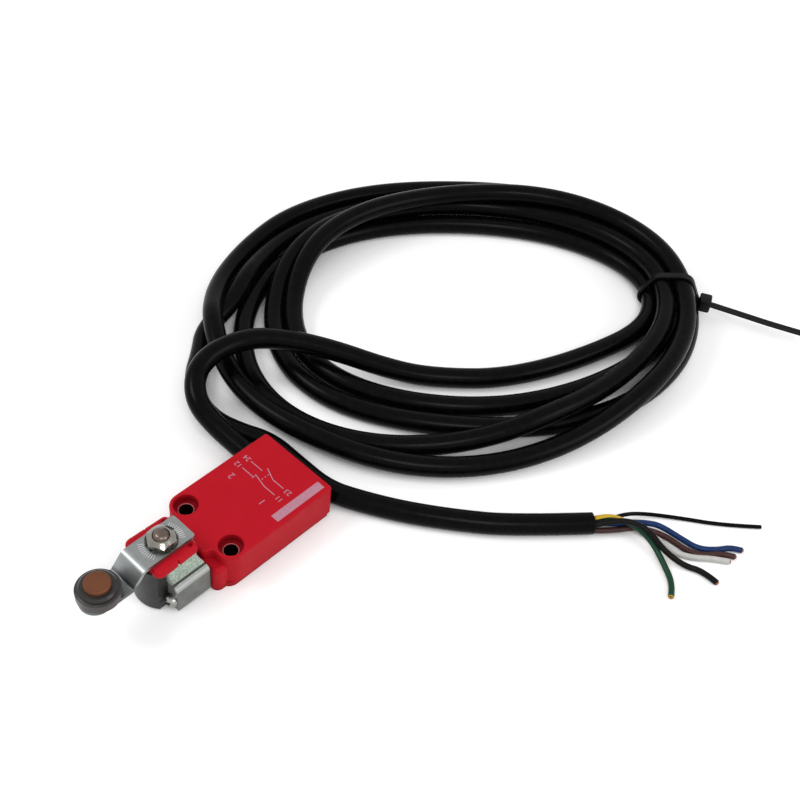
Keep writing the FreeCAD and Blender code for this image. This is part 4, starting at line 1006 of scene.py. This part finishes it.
def tooth_tie(middle, tail):
    """The teeth under the tie's free end, from its head on."""
    teeth = Growth("tie_teeth", Spacing=0.9 * MM, Width=1.7 * MM, Length=0.45 * MM, Height=0.24 * MM)
    size = teeth.given
    seed = bpy.data.meshes.new("tie_tail")
    from_head = [p for p in tail if (p - middle).length > TIE_HEAD[0] / 2 + TEETH_START]
    seed.from_pydata([(p - UPRIGHT * (TIE_THICKNESS / 2)) * MM for p in from_head],
                     [(i, i + 1) for i in range(len(from_head) - 1)], [])
    run = teeth.add("GeometryNodeMeshToCurve", {"Mesh": size["Geometry"]})
    level = teeth.add("GeometryNodeSetCurveNormal", {"Curve": run}, mode="Z_UP")
    spaced = teeth.add("GeometryNodeCurveToPoints", {"Curve": level, "Length": size["Spacing"]},
                       mode="LENGTH")
    tooth = teeth.box(size["Width"], size["Height"], size["Length"])
    laid = teeth.repeated(spaced, tooth, Rotation=spaced.node.outputs["Rotation"])
    teeth.piece("tie_teeth", seed, laid, FINISHES["tie_plastic"], "base", "tie_plastic")


def printed_bar(made, start, end, width):
    """A thin printed line between two places on the front of the case."""
    a, b = Vector((*start, CASE_TOP)), Vector((*end, CASE_TOP))
    run = (b - a).normalized()
    side = Vector((-run.y, run.x, 0.0)) * width / 2
    low = [made.verts.new(p) for p in (a - side, b - side, b + side, a + side)]
    high = [made.verts.new(v.co + UPRIGHT * PRINT_HEIGHT) for v in low]
    made.faces.new(low[::-1])
    made.faces.new(high)
    for k in range(len(low)):
        n = (k + 1) % len(low)
        made.faces.new((low[k], low[n], high[n], high[k]))


def printed_number(made, digits, place, height):
    data = bpy.data.curves.new("numeral", "FONT")
    data.body = digits
    data.size = height * DIGIT_SCALE
    data.extrude = PRINT_HEIGHT / 2
    data.align_x = "CENTER"
    data.align_y = "CENTER"
    numeral = show("numeral", data)
    flat = shape_of(numeral)
    flat.transform(Matrix.Translation((*place, CASE_TOP + PRINT_HEIGHT / 2)))
    made.from_mesh(flat)
    bpy.data.objects.remove(numeral)
    bpy.data.curves.remove(data)
    bpy.data.meshes.remove(flat)


def print_front():
    """Contact symbols with their numbers, and a plain bar along the edge."""
    made = bmesh.new()
    for start, end, width in PRINT_LINES:
        printed_bar(made, start, end, width)
    for digits, place, height in PRINT_NUMBERS:
        printed_number(made, digits, place, height)
    marking = mesh_piece("front_marking", made, PRINT_WHITE, smooth=False)
    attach(marking, "base")


def seen_rays(nodes, links):
    """One for the rays that see the background: straight, in a reflection or through glass."""
    path = nodes.new("ShaderNodeLightPath")
    total = path.outputs["Is Camera Ray"]
    for kind in ("Is Glossy Ray", "Is Transmission Ray"):
        added = nodes.new("ShaderNodeMath")
        added.operation = "MAXIMUM"
        links.new(total, added.inputs[0])
        links.new(path.outputs[kind], added.inputs[1])
        total = added.outputs["Value"]
    return total


def show_to_seen_rays(tree, unseen, seen, output):
    """Gives the seen shader to the rays that see the background, and the unseen one to the others."""
    mixed = tree.nodes.new("ShaderNodeMixShader")
    tree.links.new(unseen.outputs[0], mixed.inputs[1])
    tree.links.new(seen.outputs[0], mixed.inputs[2])
    tree.links.new(mixed.outputs["Shader"], tree.nodes[output].inputs["Surface"])
    tree.links.new(seen_rays(tree.nodes, tree.links), mixed.inputs["Fac"])


def set_world():
    world = bpy.data.worlds.new("studio")
    SCENE.world = world
    world.use_nodes = True
    ambient = world.node_tree.nodes["Background"]
    backdrop = world.node_tree.nodes.new("ShaderNodeBackground")
    for shader, level in ((ambient, AMBIENT_LEVEL), (backdrop, BACKDROP_LEVEL)):
        shader.inputs["Color"].default_value = WHITE
        shader.inputs["Strength"].default_value = level
    show_to_seen_rays(world.node_tree, ambient, backdrop, "World Output")


def set_lamps():
    for name, place, size, power in SOFT_LAMPS:
        data = bpy.data.lights.new(name, "AREA")
        data.shape = "DISK"
        data.size = size
        data.energy = power
        lamp = show(name, data)
        lamp.location = place
        lamp.rotation_euler = (CAMERA_AIM * MM - Vector(place)).to_track_quat("-Z", "Y").to_euler()


def glow_from(tree, source, zone, level):
    """From nought to the level as the source passes through the zone."""
    made = tree.nodes.new("ShaderNodeMapRange")
    made.inputs["From Min"].default_value = zone[0]
    made.inputs["From Max"].default_value = zone[1]
    made.inputs["To Max"].default_value = level
    tree.links.new(source, made.inputs["Value"])
    return made.outputs["Result"]


def floor_paper():
    """White paper that glows for the camera, save in narrow gaps, so that just the shadow is left on it."""
    material = bpy.data.materials.new("floor_paper")
    material.use_nodes = True
    tree = material.node_tree
    tree.nodes.remove(tree.nodes["Principled BSDF"])
    paper = tree.nodes.new("ShaderNodeBsdfDiffuse")
    paper.inputs["Color"].default_value = PAPER_COLOUR
    open_sky = tree.nodes.new("ShaderNodeAmbientOcclusion")
    open_sky.samples = GAP_SAMPLES
    open_sky.inputs["Distance"].default_value = GAP_REACH * MM
    away = tree.nodes.new("ShaderNodeVectorMath")
    away.operation = "LENGTH"
    tree.links.new(tree.nodes.new("ShaderNodeTexCoord").outputs["Object"], away.inputs[0])
    level = tree.nodes.new("ShaderNodeMath")
    tree.links.new(glow_from(tree, open_sky.outputs["AO"], GAP_EDGE, PAPER_GLOW), level.inputs[0])
    tree.links.new(glow_from(tree, away.outputs["Value"], FAR_EDGE, FAR_GLOW), level.inputs[1])
    glow = tree.nodes.new("ShaderNodeEmission")
    tree.links.new(level.outputs["Value"], glow.inputs["Strength"])
    both = tree.nodes.new("ShaderNodeAddShader")
    tree.links.new(paper.outputs["BSDF"], both.inputs[0])
    tree.links.new(glow.outputs["Emission"], both.inputs[1])
    show_to_seen_rays(tree, paper, both, "Material Output")
    return material


def lay_floor():
    made = bmesh.new()
    bmesh.ops.create_grid(made, x_segments=1, y_segments=1, size=FLOOR_HALF)
    bmesh.ops.translate(made, vec=(0.0, 0.0, FLOOR_LEVEL), verts=made.verts)
    floor = mesh_piece("floor", made, floor_paper(), smooth=False)


def dress_nodes():
    """Gives each solid the finish of its material slot; the stud has one of its own."""
    for subpart in frame["record"]["subparts"]:
        finish = STUD_BRONZED if subpart["node"] == "shaft" else FINISHES[subpart["material_slot"]]
        data = frame["nodes"][subpart["node"]].data
        data.materials.clear()
        data.materials.append(finish)


set_camera()
cable_line = lay_cable()
wire_ends = lay_wires()
tie_head, tie_tail = fasten_tie(cable_line)
tooth_tie(tie_head, tie_tail)
bare_wire_ends(wire_ends)
dress_nodes()
cut_index_marks()
drive_head_screws()
bead_hole_rims()
print_front()
set_world()
set_lamps()
lay_floor()

SCENE.view_settings.view_transform = "Standard"
